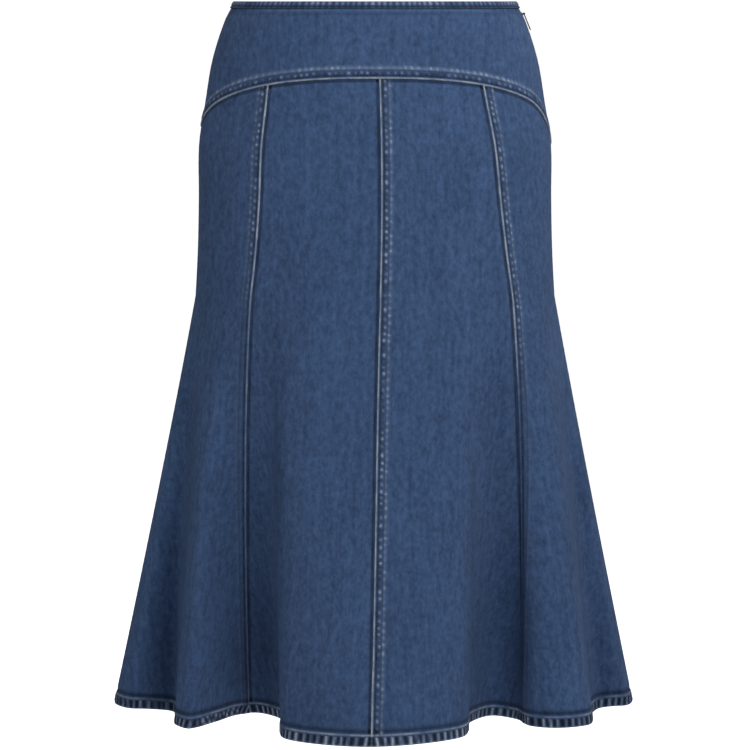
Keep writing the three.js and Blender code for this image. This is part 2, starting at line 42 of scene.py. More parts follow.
# The skirt's form, with the same values as the part's source: millimetres, and degrees round
# from the centre front towards the wearer's left
skirt = {
    "length": 730, "flareStart": -285, "hipLevel": -300, "foldPower": 1.35,
    "wall": 1.3, "seamTopLevel": -80, "hemDepth": 10.5, "hemWall": 2.8,
}
bodySections = np.array([
    # z, half width, depth in front, depth behind
    [0, 142.6, 98, 90], [-20, 153.2, 102, 95], [-60, 166, 108, 104], [-100, 172.9, 112.5, 113],
    [-145, 179.8, 117, 125], [-200, 180.4, 120.5, 132], [-250, 181.6, 124, 134],
    [-300, 184.2, 128.5, 136],
])
hemRing = (257, 142, 150)
flutes = [
    # foot, rise, crest, fall, end and trough of each flute at the hem: x, y and how far it hangs down
    (-95, -56, 2), (-89, -155, 0), (-5, -191, 0), (86, -148, 0), (98, -72, 1), (121, -36, 2),
    (144, -52, 2), (158, -95, 0), (184, -104, 0), (217, -89, 0), (226, -16, 3), (236, 8, 3),
    (248, 6, 1), (262, 6, 0), (271, 34, 0), (261, 66, 0), (232, 76, 0), (208, 74, 0),
    (194, 88, 0), (186, 128, 0), (158, 149, 0), (128, 132, 0), (112, 86, 0), (100, 62, 0),
    (90, 84, 0), (84, 152, 0), (4, 203, 0), (-86, 156, 0), (-94, 92, 0), (-108, 66, 0),
    (-122, 92, 0), (-136, 136, 0), (-165, 146, 0), (-190, 122, 0), (-202, 86, 0), (-214, 72, 0),
    (-238, 76, 0), (-264, 62, 0), (-273, 20, 0), (-256, -8, 0), (-236, 2, 3), (-214, 16, 8),
    (-204, -18, 7.5), (-203, -88, 0), (-188, -107, 0), (-163, -76, 0), (-142, -37, 1), (-122, -22, 2),
]
# Share of the way round the plain body against the share along the fluted hem, where they differ
bodyShares = {
    0: ((0, 0.1, 0.37, 0.66, 0.81, 1), (0, 0.1, 0.53, 0.69, 0.82, 1)),
    7: ((0, 0.1, 0.21, 0.6, 0.97, 1), (0, 0.1, 0.17, 0.36, 0.97, 1)),
}
seams = [
    # degrees at the yoke, seat, hip and plain hem, and the place on the fluted hem
    (1.4, 1.9, 1.3, -8, (-4, -191)), (38.9, 43.3, 48.5, 45, (149, -70)),
    (90, 90, 90, 90, (271, 40)), (140, 137, 133, 134, (112, 86)),
    (180, 180, 180, 180, (4, 203)), (219.5, 222.5, 226.5, 226, (-110, 70)),
    (270, 270, 270, 270, (-273, 22)), (321.6, 320.7, 317.6, 319.5, (-128.5, -26)),
]
yokeSeam = {
    "front": 76, "frontDrop": 48, "frontPower": 1.26, "back": 92, "backPower": 1.4,
    "dipStart": 62, "dipLeft": 22, "dipRight": 4,
}


def smoothTable(places, values, wanted):
    # Smooth curve through a table of rising places, its slopes taken from the neighbouring rows
    last = len(places) - 1
    index = np.arange(last + 1)
    before = np.maximum(index - 1, 0)
    after = np.minimum(index + 1, last)
    slopes = (values[after] - values[before]) / (places[after] - places[before])
    i = np.clip(np.searchsorted(places, wanted, side="right") - 1, 0, last - 1)
    step = places[i + 1] - places[i]
    t = np.clip((wanted - places[i]) / step, 0, 1)
    eased = t * t * (3 - 2 * t)
    leave = (t - 2 * t ** 2 + t ** 3) * step * slopes[i]
    arrive = (t ** 3 - t ** 2) * step * slopes[i + 1]
    return values[i] + (values[i + 1] - values[i]) * eased + leave + arrive


def tableValue(column, z):
    return smoothTable(-bodySections[:, 0], bodySections[:, column], -z)


def ringSize(z):
    z = np.asarray(z, float)
    drop = skirt["length"] + skirt["hipLevel"]
    flare = np.clip((skirt["hipLevel"] - z) / drop, 0, 1)
    hip = np.array(float(skirt["hipLevel"]))
    body = np.maximum(z, hip)
    return [tableValue(i + 1, body) + (hemRing[i] - tableValue(i + 1, hip)) * flare for i in range(3)]


def ringPoint(size, degrees):
    turn = np.radians(degrees)
    toFront = np.cos(turn)
    return size[0] * np.sin(turn), -np.where(toFront > 0, size[1], size[2]) * toFront


def ringDegrees(x, y, z):
    size = ringSize(z)
    toFront = -y / np.where(y < 0, size[1], size[2])
    return np.degrees(np.arctan2(x / size[0], toFront)) % 360


def seamDegrees(index, z):
    yoke, seat, hip, hemBase, _ = seams[index % 8]
    top = skirt["seamTopLevel"]
    upper = np.clip((top - z) / (top - skirt["hipLevel"]), 0, 1)
    lower = np.clip((skirt["hipLevel"] - z) / (skirt["length"] + skirt["hipLevel"]), 0, 1)
    place = yoke * (1 - upper) * (1 - 2 * upper) + seat * 4 * upper * (1 - upper)
    place = place + hip * upper * (2 * upper - 1) + (hemBase - hip) * lower
    return place + (360 if index >= 8 else 0)


def yokeSeamLevel(degrees):
    turn = np.asarray(degrees) % 360
    fromFront = np.where(turn < 180, turn, 360 - turn)
    dip = np.where(turn < 180, yokeSeam["dipLeft"], yokeSeam["dipRight"])
    side = yokeSeam["front"] + yokeSeam["frontDrop"] + dip
    toSide = np.clip(1 + np.cos(np.radians(fromFront)), 0, 1)
    behind = yokeSeam["back"] + (side - yokeSeam["back"]) * toSide ** yokeSeam["backPower"]
    away = np.clip(1 - np.cos(np.radians(fromFront)), 0, 1)
    nearSide = np.clip((fromFront - yokeSeam["dipStart"]) / (90 - yokeSeam["dipStart"]), 0, 1)
    drop = yokeSeam["frontDrop"] * away ** yokeSeam["frontPower"]
    before = yokeSeam["front"] + drop + dip * nearSide ** 2
    return -np.where(fromFront > 90, behind, before)


# The fluted hem as one closed curve, and where each seam meets it
def closedCurve(corners, steps):
    points = np.array(corners, float)
    count = len(points)
    t = np.linspace(0, 1, steps, endpoint=False)[:, None]
    pieces = []
    for i in range(count):
        p0, p1, p2, p3 = (points[(i + k) % count] for k in (-1, 0, 1, 2))
        d0, d1, d2 = (np.linalg.norm(b - a) ** 0.5 for a, b in ((p0, p1), (p1, p2), (p2, p3)))
        leave = ((p1 - p0) / d0 - (p2 - p0) / (d0 + d1) + (p2 - p1) / d1) * d1
        arrive = ((p2 - p1) / d1 - (p3 - p1) / (d1 + d2) + (p3 - p2) / d2) * d1
        eased = t * t * (3 - 2 * t)
        curve = p1 + (p2 - p1) * eased + leave * (t - 2 * t ** 2 + t ** 3) + arrive * (t ** 3 - t ** 2)
        pieces.append(curve)
    return np.vstack(pieces + [pieces[0][:1]])


def lengthsOf(xs, ys):
    steps = np.hypot(np.diff(xs, axis=-1), np.diff(ys, axis=-1))
    start = np.zeros(steps.shape[:-1] + (1,))
    return np.concatenate([start, np.cumsum(steps, axis=-1)], axis=-1)


hemLine = closedCurve(flutes, 100)
hemLengths = lengthsOf(hemLine[:, 0], hemLine[:, 1])
hemTotal = hemLengths[-1]


def hemPlace(point):
    return hemLengths[np.hypot(hemLine[:, 0] - point[0], hemLine[:, 1] - point[1]).argmin()]


firstPlace = hemPlace(seams[0][4])
seamPlaces = [(hemPlace(seam[4]) - firstPlace) % hemTotal for seam in seams] + [hemTotal]

# A panel is measured at many levels, each with points evenly spaced across it
grain = {"samples": 401, "turnSamples": 129, "levelStep": 1.5}
acrossSamples = np.linspace(0, 1, grain["samples"])


def evenRing(z, start, end, gore=None):
    size = ringSize(z)
    degrees = np.linspace(start, end, grain["turnSamples"])
    lengths = lengthsOf(*ringPoint(size, degrees))
    shares = acrossSamples
    if gore in bodyShares:
        shares = smoothTable(*(np.array(v, float) for v in bodyShares[gore]), acrossSamples)
    return ringPoint(size, np.interp(shares * lengths[-1], lengths, degrees))


def measuredPanel(levels, starts, ends, gore=None):
    rings = [evenRing(z, a, b, gore) for z, a, b in zip(levels, starts, ends)]
    xs, ys = (np.array(v) for v in zip(*rings))
    zs = levels[:, None] + np.zeros_like(xs)
    if gore is not None:
        places = seamPlaces[gore] + (seamPlaces[gore + 1] - seamPlaces[gore]) * acrossSamples
        places = (places + firstPlace) % hemTotal
        bottom = np.array(-float(skirt["length"]))
        plain = evenRing(bottom, seamDegrees(gore, bottom), seamDegrees(gore + 1, bottom), gore)
        fall = (skirt["flareStart"] - levels) / (skirt["length"] + skirt["flareStart"])
        weight = (np.clip(fall, 0, 1) ** skirt["foldPower"])[:, None]
        xs = xs + (np.interp(places, hemLengths, hemLine[:, 0]) - plain[0]) * weight
        ys = ys + (np.interp(places, hemLengths, hemLine[:, 1]) - plain[1]) * weight
        zs = zs - np.interp(places, hemLengths, hemLine[:, 2]) * weight
    return {"levels": levels, "xs": xs, "ys": ys, "zs": zs, "lengths": lengthsOf(xs, ys)}


def bendShares(panel, middle, weight=26):
    # Shares of the way across for the columns between, closer together where the hem bends
    x, y = panel["xs"][-1], panel["ys"][-1]
    heading = np.unwrap(np.arctan2(np.diff(y), np.diff(x)))
    bend = np.abs(np.diff(heading, append=heading[-1]))
    bend = np.convolve(bend, np.ones(9) / 9, mode="same")
    total = np.concatenate([[0], np.cumsum(np.hypot(np.diff(x), np.diff(y)) + weight * bend)])
    return np.interp(np.linspace(0, total[-1], middle + 2)[1:-1], total, acrossSamples)


def columnsOf(panel, firstSteps, lastSteps, shares, firstOpen=None, lastOpen=None):
    # Columns at set distances from each edge, with the rest spread between
    rows = len(panel["levels"])
    firstOpen = np.zeros(rows) if firstOpen is None else firstOpen
    lastOpen = np.zeros(rows) if lastOpen is None else lastOpen
    x, y, z, first, last = [], [], [], [], []
    for i in range(rows):
        lengths = panel["lengths"][i]
        start = firstSteps + firstOpen[i]
        end = lengths[-1] - lastSteps[::-1] - lastOpen[i]
        places = np.concatenate([start, start[-1] + (end[0] - start[-1]) * shares, end])
        x.append(np.interp(places, lengths, panel["xs"][i]))
        y.append(np.interp(places, lengths, panel["ys"][i]))
        z.append(np.interp(places, lengths, panel["zs"][i]))
        first.append(places)
        last.append(lengths[-1] - places)
    return {"levels": panel["levels"], "x": np.array(x), "y": np.array(y), "z": np.array(z),
            "first": np.array(first), "last": np.array(last)}


def atLevels(columns, rowLevels):
    # The columns' points where each meets its own levels
    rising = columns["levels"][::-1]
    grid = {}
    for key in ("x", "y", "z", "first", "last"):
        values = columns[key][::-1]
        grid[key] = np.stack(
            [np.interp(rowLevels[:, c], rising, values[:, c]) for c in range(rowLevels.shape[1])], axis=1)
    grid["points"] = np.stack([grid["x"], grid["y"], grid["z"]], axis=-1)
    steps = np.linalg.norm(np.diff(grid["points"], axis=0), axis=-1)
    grid["down"] = np.concatenate([np.zeros((1, steps.shape[1])), np.cumsum(steps, axis=0)])
    return grid


def seamMeeting(columns):
    # Level at which each column meets the yoke seam, and the slope of the seam there
    degrees = ringDegrees(columns["x"], columns["y"], columns["levels"][:, None])
    gap = columns["levels"][:, None] - yokeSeamLevel(degrees)
    count = gap.shape[1]
    levels = np.array([np.interp(0, gap[::-1, c], columns["levels"][::-1]) for c in range(count)])
    rising = columns["levels"][::-1]
    x = np.array([np.interp(levels[c], rising, columns["x"][::-1, c]) for c in range(count)])
    y = np.array([np.interp(levels[c], rising, columns["y"][::-1, c]) for c in range(count)])
    run = np.hypot(np.gradient(x), np.gradient(y))
    return levels, np.cos(np.arctan2(np.abs(np.gradient(levels)), run))


def normalsOf(points):
    across = np.gradient(points, axis=1)
    down = np.gradient(points, axis=0)
    normals = np.cross(down, across)
    return normals / np.linalg.norm(normals, axis=-1, keepdims=True)


# Unevenness that is the same on each run
def wobble(along, seed):
    waves = np.sin(along / 19.7 + seed) + np.sin(along / 11.3 + 2.3 * seed)
    return (waves + np.sin(along / 5.3 + 4.1 * seed)) / 3


def crests(along, pitch, seed, sharpness=1.3):
    turn = 2 * math.pi * along / pitch + 2.3 * wobble(along, seed)
    strength = 0.72 + 0.3 * wobble(along * 0.61, seed + 1.7) + 0.26 * wobble(along * 2.3, seed + 4.1)
    return np.exp(sharpness * (np.cos(turn) - 1)) * np.clip(strength, 0.05, 1.3)


def knots(along, pitch, seed, least=0.1, sharpness=1.3):
    # Crests that differ in strength one by one, as worn cloth does over its stitches
    turn = along / pitch + 0.36 * wobble(along, seed)
    scatter = np.sin(np.round(turn) * 12.99 + seed * 78.23) * 437.58
    strength = least + (1.25 - least) * (scatter - np.floor(scatter))
    return np.exp(sharpness * (np.cos(2 * math.pi * turn) - 1)) * strength


def bell(value, centre, width):
    return np.exp(-((value - centre) / width) ** 2)


def ease(value, start, end):
    t = np.clip((value - start) / (end - start), 0, 1)
    return t * t * (3 - 2 * t)


# A felled seam or yoke edge: a folded edge laid over its neighbour with two sewn channels
fell = {
    "width": 9, "height": 1.0, "slope": 1.4, "rows": (3.2, 8.5), "rowWidth": 0.95, "rowDepth": 0.45,
    "puckerPitch": 7.1, "innerDots": 5.7, "puckerHeight": 0.6,
    "steps": np.array([0.05, 0.5, 1, 1.6, 2.3, 3.1, 3.9, 4.7, 5.5, 6.3, 7.1, 7.9, 8.6, 9.3, 10,
                       10.9, 12, 14]),
}
plain = {
    "depth": 0.8, "width": 1.2, "puckerPitch": 8.7, "puckerHeight": 0.14,
    "steps": np.array([0.05, 0.6, 1.3, 2.1, 3, 4.2, 6, 9]),
}


# How far each seam's worn line and its dots stay below the hip: mm down where they start and end
# to fade, and the shares left of the line and of the dots
seamFades = {
    1: (312, 425, 0.08, 0.04), 7: (225, 335, 0.5, 0.12), 3: (300, 430, 0.3, 0.15), 5: (290, 410, 0.35, 0.2),
}


def seamFade(seam, levels):
    start, end, line, dots = seamFades.get(seam % 8, (600, 700, 1, 1))
    gone = ease(-levels, start, end)
    return 1 - (1 - line) * gone, 1 - (1 - dots) * gone


goreFell = {"outerDots": 10.2, "outerLine": 0.18, "innerShare": 1}
yokeFell = {"outerDots": 11.1, "outerLine": 0.34, "innerShare": 0.72}


def fellForm(across, along, seed, style=goreFell, fade=(1, 1)):
    rowOne, rowTwo = fell["rows"]
    lineLeft, dotsLeft = fade
    dots = 0.4 + (knots(along, fell["puckerPitch"], seed) - 0.4) * dotsLeft
    outerKnots = 0.4 + (knots(along + 3, fell["puckerPitch"], seed + 9, 0.25) - 0.4) * dotsLeft
    sway = 0.6 * wobble(along * 2.7, seed + 8)
    inner = bell(across, fell["innerDots"] + sway, 1.3)
    outer = bell(across, style["outerDots"] + 0.5 * sway, 1.7)
    height = fell["height"] * (1 - ease(across, fell["width"], fell["width"] + fell["slope"]))
    height = height - 0.55 * bell(across, 0, 0.45) + 0.16 * bell(across, 0.9, 0.7)
    channels = bell(across, rowOne, fell["rowWidth"]) + 0.6 * bell(across, rowTwo, 0.8)
    height = height - fell["rowDepth"] * channels
    lifts = (dots - 0.3) * (inner + 0.25 * bell(across, 0.6, 0.9)) + 0.7 * (outerKnots - 0.3) * outer
    height = height + fell["puckerHeight"] * lifts
    edge = 1.05 + 0.35 * wobble(along * 1.3, seed + 3) + 0.25 * wobble(along * 4.1, seed + 5)
    worn = 1.1 * style["innerShare"] * dots * inner + (0.65 * outerKnots + style["outerLine"]) * outer
    wear = edge * lineLeft * bell(across, 0.6, 1.0) + worn * (0.15 + 0.85 * dotsLeft)
    # Painted shade in the two sewn channels and between the pucker crests; darker mottled patches along the
    # yoke's band
    ditch = 1.15 + 0.45 * wobble(along * 3.3, seed + 6)
    shadeAndDarkDye = ditch * bell(across, rowOne, 1.0) + 0.4 * bell(across, rowTwo, 0.8)
    patches = 0.8 * (1 - style["innerShare"]) * (0.5 + wobble(along * 2.1, seed + 7)) * bell(across, 4.6, 2.6)
    return height, wear, shadeAndDarkDye + patches + (0.72 - dots) * (0.95 * inner + 0.2 * outer)


# Cloth beside a folded edge: a shallow trough with painted shadow where the edge overhangs it, 2 mm out and
# along the edge itself, and a few worn puckers
def besideFell(across, along, seed):
    height = -0.5 * bell(across, 1.9, 1.4)
    shadeAndDarkDye = (0.95 + 0.25 * wobble(along, seed)) * bell(across, 2.1, 1.3) + 0.5 * bell(across, 0, 0.8)
    return height, 0.12 * crests(along, fell["puckerPitch"], seed) * bell(across, 4.8, 1.2), shadeAndDarkDye


# A closed seam: the cloth rolls into a groove, with painted shade along it and faint worn puckers beside it
def plainForm(across, along, seed):
    dots = crests(along, plain["puckerPitch"], seed)
    height = -plain["depth"] * bell(across, 0, plain["width"])
    height = height + plain["puckerHeight"] * (dots - 0.4) * bell(across, 3.4, 2.2)
    return height, 0.25 * dots * bell(across, 2.4, 1.3), 0.7 * bell(across, 0, 1.0)


# The turned hem: its bars lean where the turning has twisted
hem = {
    "pitch": 8.0, "lean": 0.22, "barHeight": 0.75, "line": 11.0, "shadow": 14.6, "stitchRow": 9.2,
    # Towards the sides, between these distances from the middle, the hem's bars are lightened less and
    # painted darker: painted shade where the hem turns away to the sides
    "sides": (110, 200),
    "steps": np.array([0, 0.4, 0.9, 1.6, 2.4, 3.3, 4.3, 5.3, 6.3, 7.3, 8.3, 9.2, 9.9, 10.6,
                       11.4, 12.2, 13.1, 14.1, 15.1, 16.4]),
}


def hemForm(up, along):
    bars = knots(along + hem["lean"] * up, hem["pitch"], 0.7, 0.42, 2.0)
    band = ease(up, 0.2, 1.8) * (1 - ease(up, 8.2, 10))
    height = hem["barHeight"] * (bars - 0.4) * (0.35 + 0.65 * band) * (1 - ease(up, 9, 14))
    height = height + 0.3 * bell(up, hem["line"], 1.2) - 0.5 * bell(up, hem["shadow"], 2.2)
    height = height - 0.5 * bell(up, 0, 0.6)
    line = 0.8 + 0.45 * wobble(along * 0.9, 2.2) + 0.3 * wobble(along * 3.1, 1.2)
    wear = 1.1 * bars * band + line * 0.98 * bell(up, hem["line"], 0.95)
    wear = wear + (0.3 + 1.2 * bars) * bell(up, 0.3, 1.0)
    # Darker between the bars, partly unworn dye and partly painted shade in their troughs, and painted shadow
    # above the hem's top line
    shadeAndDarkDye = 1.75 * (0.74 - bars) * band + 0.85 * bell(up, hem["shadow"], 2.7)
    return height, wear, shadeAndDarkDye


# Soft creases listed one by one, a row for each: gore, mm down from the waist, share of the way across,
# length, width, height (a trough is below zero) and lean in degrees
creases = [
    (0, 250, 0.35, 150, 13, -0.7, 4), (0, 330, 0.62, 190, 16, 0.8, -3), (0, 505, 0.22, 160, 14, -0.8, 2),
    (0, 560, 0.55, 210, 18, 1.0, -2), (7, 235, 0.45, 170, 14, 0.7, 3), (7, 390, 0.3, 200, 17, -0.9, -2),
    (7, 545, 0.62, 190, 16, 0.9, 3), (7, 470, 0.84, 150, 12, -0.8, 5), (1, 230, 0.4, 130, 12, -0.8, -8),
    (1, 470, 0.35, 180, 13, 0.9, -4), (6, 245, 0.6, 140, 12, -0.8, 7), (6, 480, 0.62, 170, 13, 0.9, 4),
    (2, 260, 0.5, 150, 15, -0.8, 6), (2, 520, 0.4, 190, 15, 0.9, -3), (3, 240, 0.45, 160, 15, -0.9, 8),
    (3, 420, 0.6, 180, 16, 0.9, 3), (4, 255, 0.55, 170, 15, -0.8, -7), (4, 470, 0.35, 190, 17, 0.9, -3),
    (5, 250, 0.5, 150, 14, 0.8, -5), (5, 515, 0.6, 180, 15, -0.9, 4),
]


def creaseForm(gore, first, last, down):
    height = np.zeros_like(first)
    width = first + last
    for place, level, across, length, half, rise, lean in creases:
        if place != gore:
            continue
        turn = math.radians(lean)
        sideways = first - across * width
        along = (down - level) * math.cos(turn) + sideways * math.sin(turn)
        aside = sideways * math.cos(turn) - (down - level) * math.sin(turn)
        aside = aside + 3 * np.sin(along / 41 + level)
        ridge = bell(aside, 0, half) - 0.45 * bell(aside, half * 1.9, half)
        height += rise * bell(along, 0, length / 2) * ridge
    return height


# Materials
def newTree(name, kind, inputs, outputs):
    tree = bpy.data.node_groups.new(name, kind)
    for label, socket, value in inputs:
        item = tree.interface.new_socket(label, in_out="INPUT", socket_type=socket)
        if value is not None:
            item.default_value = value
    for label, socket in outputs:
        tree.interface.new_socket(label, in_out="OUTPUT", socket_type=socket)
    return tree, tree.nodes.new("NodeGroupInput"), tree.nodes.new("NodeGroupOutput")


def addNode(tree, kind, values=None, **settings):
    node = tree.nodes.new(kind)
    for key, value in settings.items():
        setattr(node, key, value)
    for key, value in (values or {}).items():
        if isinstance(value, bpy.types.NodeSocket):
            tree.links.new(value, node.inputs[key])
        else:
            node.inputs[key].default_value = value
    return node


def mathOf(tree, operation, a, b=0.0, c=0.0, clamp=False):
    values = {0: a, 1: b, 2: c}
    return addNode(tree, "ShaderNodeMath", values, operation=operation, use_clamp=clamp).outputs[0]


def mixOf(tree, factor, first, second):
    values = {"Factor": factor, 6: first, 7: second}
    return addNode(tree, "ShaderNodeMix", values, data_type="RGBA").outputs[2]


def slubGroup():
    # Long thin unevenness of the yarns, finer across than along
    tree, given, result = newTree("slubYarn", "ShaderNodeTree", [
        ("Vector", "NodeSocketVector", None), ("Width", "NodeSocketFloat", 0.0016),
        ("Length", "NodeSocketFloat", 0.02), ("Detail", "NodeSocketFloat", 2.0)],
        [("Value", "NodeSocketFloat")])
    across = mathOf(tree, "DIVIDE", 1.0, given.outputs["Width"])
    along = mathOf(tree, "DIVIDE", 1.0, given.outputs["Length"])
    scale = addNode(tree, "ShaderNodeCombineXYZ", {"X": across, "Y": along, "Z": 1.0})
    place = addNode(tree, "ShaderNodeVectorMath", {0: given.outputs["Vector"], 1: scale.outputs[0]},
                    operation="MULTIPLY")
    noise = addNode(tree, "ShaderNodeTexNoise", {
        "Vector": place.outputs[0], "Scale": 1.0, "Detail": given.outputs["Detail"], "Roughness": 0.55})
    tree.links.new(noise.outputs["Fac"], result.inputs["Value"])
    return tree


def twillGroup():
    # Fine diagonal ribs of the weave
    tree, given, result = newTree("twillWeave", "ShaderNodeTree", [
        ("Vector", "NodeSocketVector", None), ("Pitch", "NodeSocketFloat", 0.00085),
        ("Slant", "NodeSocketFloat", 0.7)], [("Height", "NodeSocketFloat")])
    split = addNode(tree, "ShaderNodeSeparateXYZ", {0: given.outputs["Vector"]})
    slanted = mathOf(tree, "MULTIPLY", split.outputs["Y"], given.outputs["Slant"])
    place = mathOf(tree, "ADD", split.outputs["X"], slanted)
    turn = mathOf(tree, "DIVIDE", mathOf(tree, "MULTIPLY", place, 2 * math.pi), given.outputs["Pitch"])
    rib = mathOf(tree, "MULTIPLY_ADD", mathOf(tree, "SINE", turn), 0.5, 0.5)
    yarnTurn = mathOf(tree, "DIVIDE", mathOf(tree, "MULTIPLY", split.outputs["Y"], 2 * math.pi),
                      given.outputs["Pitch"])
    yarn = mathOf(tree, "MULTIPLY_ADD", mathOf(tree, "SINE", yarnTurn), 0.2, 0.0)
    tree.links.new(mathOf(tree, "ADD", rib, yarn), result.inputs["Height"])
    return tree


def wearAndShadeGroup():
    # Lays worn highlights over a cloth colour, and the dark mask: painted shade in grooves, sewn channels and
    # under folded edges, and darker dye
    tree, given, result = newTree("seamWearAndShade", "ShaderNodeTree", [
        ("Colour", "NodeSocketColor", (0.05, 0.09, 0.18, 1)),
        ("Worn", "NodeSocketColor", (0.3, 0.34, 0.4, 1)),
        ("Dark", "NodeSocketColor", (0.008, 0.014, 0.03, 1)), ("Vector", "NodeSocketVector", None),
        ("Soft", "NodeSocketColor", (0.15, 0.24, 0.42, 1)), ("Wear Amount", "NodeSocketFloat", 1.0),
        ("Dark Amount", "NodeSocketFloat", 1.0)],
        [("Colour", "NodeSocketColor")])
    wear = addNode(tree, "ShaderNodeAttribute", attribute_name="wear")
    shadeAndDarkDye = addNode(tree, "ShaderNodeAttribute", attribute_name="shadeAndDarkDye")
    speckle = addNode(tree, "ShaderNodeTexNoise", {
        "Vector": given.outputs["Vector"], "Scale": 620.0, "Detail": 2.0, "Roughness": 0.6})
    uneven = mathOf(tree, "MULTIPLY_ADD", speckle.outputs["Fac"], 1.5, 0.25)
    worn = mathOf(tree, "MULTIPLY", wear.outputs["Fac"], uneven)
    worn = mathOf(tree, "MULTIPLY", worn, given.outputs["Wear Amount"], clamp=True)
    deep = mathOf(tree, "MULTIPLY", shadeAndDarkDye.outputs["Fac"], given.outputs["Dark Amount"], clamp=True)
    darkened = mixOf(tree, deep, given.outputs["Colour"], given.outputs["Dark"])
    rubbed = mixOf(tree, worn, given.outputs["Soft"], given.outputs["Worn"])
    tree.links.new(mixOf(tree, worn, darkened, rubbed), result.inputs["Colour"])
    return tree


groups = {"slub": slubGroup(), "twill": twillGroup(), "wear": wearAndShadeGroup()}


def useGroup(tree, name, values):
    return addNode(tree, "ShaderNodeGroup", values, node_tree=groups[name])


def newMaterial(name, roughness, metallic=0.0, sheen=0.0, specular=0.5):
    material = bpy.data.materials.new(name)
    material.use_nodes = True
    tree = material.node_tree
    shader = tree.nodes["Principled BSDF"]
    shader.inputs["Roughness"].default_value = roughness
    shader.inputs["Metallic"].default_value = metallic
    shader.inputs["Sheen Weight"].default_value = sheen
    shader.inputs["Specular IOR Level"].default_value = specular
    return material, tree, shader


denimLook = {
    "deep": (0.025, 0.049, 0.114, 1), "pale": (0.088, 0.163, 0.34, 1), "worn": (0.44, 0.49, 0.57, 1),
    # The dark colour is painted shade in grooves, channels and under folded edges, and darker dye between
    # worn crests
    "soft": (0.2, 0.3, 0.5, 1), "shadeAndDarkDye": (0.008, 0.014, 0.032, 1), "roughness": 0.94, "sheen": 0.02,
    "slubWidth": 0.0056, "slubLength": 0.011, "fineWidth": 0.0034, "fineLength": 0.005,
    "fleckWidth": 0.0046, "fleckLength": 0.0017, "patchWidth": 0.006, "patchLength": 0.075,
    "broadWidth": 0.05, "broadLength": 0.11,
    # How far each layer of unevenness takes the colour from deep to pale
    "slubShare": 0.9, "fineShare": 0.7, "fleckShare": 0.3, "patchShare": 0.55, "broadShare": 0.35,
    "weave": 0.00085, "weaveDepth": 0.00022, "slubDepth": 0.0003,
}


def yarnLayer(tree, cloth, look, kind, detail=2.0):
    return useGroup(tree, "slub", {
        "Vector": cloth, "Width": look[kind + "Width"], "Length": look[kind + "Length"],
        "Detail": detail})


def shareOf(tree, layer, share):
    # The layer's value, scaled and centred on zero
    return mathOf(tree, "MULTIPLY_ADD", layer.outputs[0], share, -share / 2)


def denimMaterial(name, look, wearAndShadeAmount=1.0):
    material, tree, shader = newMaterial(name, look["roughness"], sheen=look["sheen"], specular=0.15)
    cloth = addNode(tree, "ShaderNodeUVMap", uv_map="cloth").outputs[0]
    slub = yarnLayer(tree, cloth, look, "slub")
    fine = yarnLayer(tree, cloth, look, "fine")
    patch = yarnLayer(tree, cloth, look, "patch", 3.0)
    broad = yarnLayer(tree, cloth, look, "broad")
    weave = useGroup(tree, "twill", {"Vector": cloth, "Pitch": look["weave"]})
    fleck = yarnLayer(tree, cloth, look, "fleck", 1.0)
    tone = shareOf(tree, slub, look["slubShare"])
    tone = mathOf(tree, "ADD", tone, shareOf(tree, fine, look["fineShare"]))
    flecks = mathOf(tree, "MULTIPLY_ADD", fleck.outputs[0], 5.0, -3.1, clamp=True)
    tone = mathOf(tree, "MULTIPLY_ADD", flecks, look["fleckShare"], tone)
    tone = mathOf(tree, "ADD", tone, shareOf(tree, patch, look["patchShare"]))
    tone = mathOf(tree, "ADD", tone, shareOf(tree, broad, look["broadShare"]))
    ribs = mathOf(tree, "MULTIPLY_ADD", weave.outputs[0], 0.16, 0.42)
    tone = mathOf(tree, "ADD", tone, ribs, clamp=True)
    colour = mixOf(tree, tone, look["deep"], look["pale"])
    # Worn highlights and painted shade laid from the cloth's attributes
    worn = useGroup(tree, "wear", {
        "Colour": colour, "Worn": look["worn"], "Dark": look["shadeAndDarkDye"], "Soft": look["soft"],
        "Vector": cloth, "Wear Amount": 0.85 * wearAndShadeAmount, "Dark Amount": 0.75 * wearAndShadeAmount})
    tree.links.new(worn.outputs[0], shader.inputs["Base Color"])
    relief = mathOf(tree, "MULTIPLY", weave.outputs[0], look["weaveDepth"])
    relief = mathOf(tree, "ADD", relief, mathOf(tree, "MULTIPLY", slub.outputs[0], look["slubDepth"]))
    relief = mathOf(tree, "ADD", relief, mathOf(tree, "MULTIPLY", fine.outputs[0], look["slubDepth"] * 0.7))
    bump = addNode(tree, "ShaderNodeBump", {"Height": relief, "Distance": 1.0, "Strength": 0.8})
    tree.links.new(bump.outputs[0], shader.inputs["Normal"])
    return material


insideLook = dict(denimLook, deep=(0.11, 0.14, 0.2, 1), pale=(0.3, 0.36, 0.44, 1), weave=0.0011)
denim = denimMaterial("washedDenim", denimLook)
denimInside = denimMaterial("denimInside", insideLook, 0.0)


def threadMaterial():
    material, tree, shader = newMaterial("navyThread", 0.7, sheen=0.1)
    place = addNode(tree, "ShaderNodeTexCoord").outputs["Object"]
    noise = addNode(tree, "ShaderNodeTexNoise", {"Vector": place, "Scale": 900.0, "Detail": 1.0})
    colour = mixOf(tree, noise.outputs["Fac"], (0.012, 0.02, 0.045, 1), (0.05, 0.075, 0.14, 1))
    tree.links.new(colour, shader.inputs["Base Color"])
    bump = addNode(tree, "ShaderNodeBump", {"Height": noise.outputs["Fac"], "Distance": 0.0001})
    tree.links.new(bump.outputs[0], shader.inputs["Normal"])
    return material


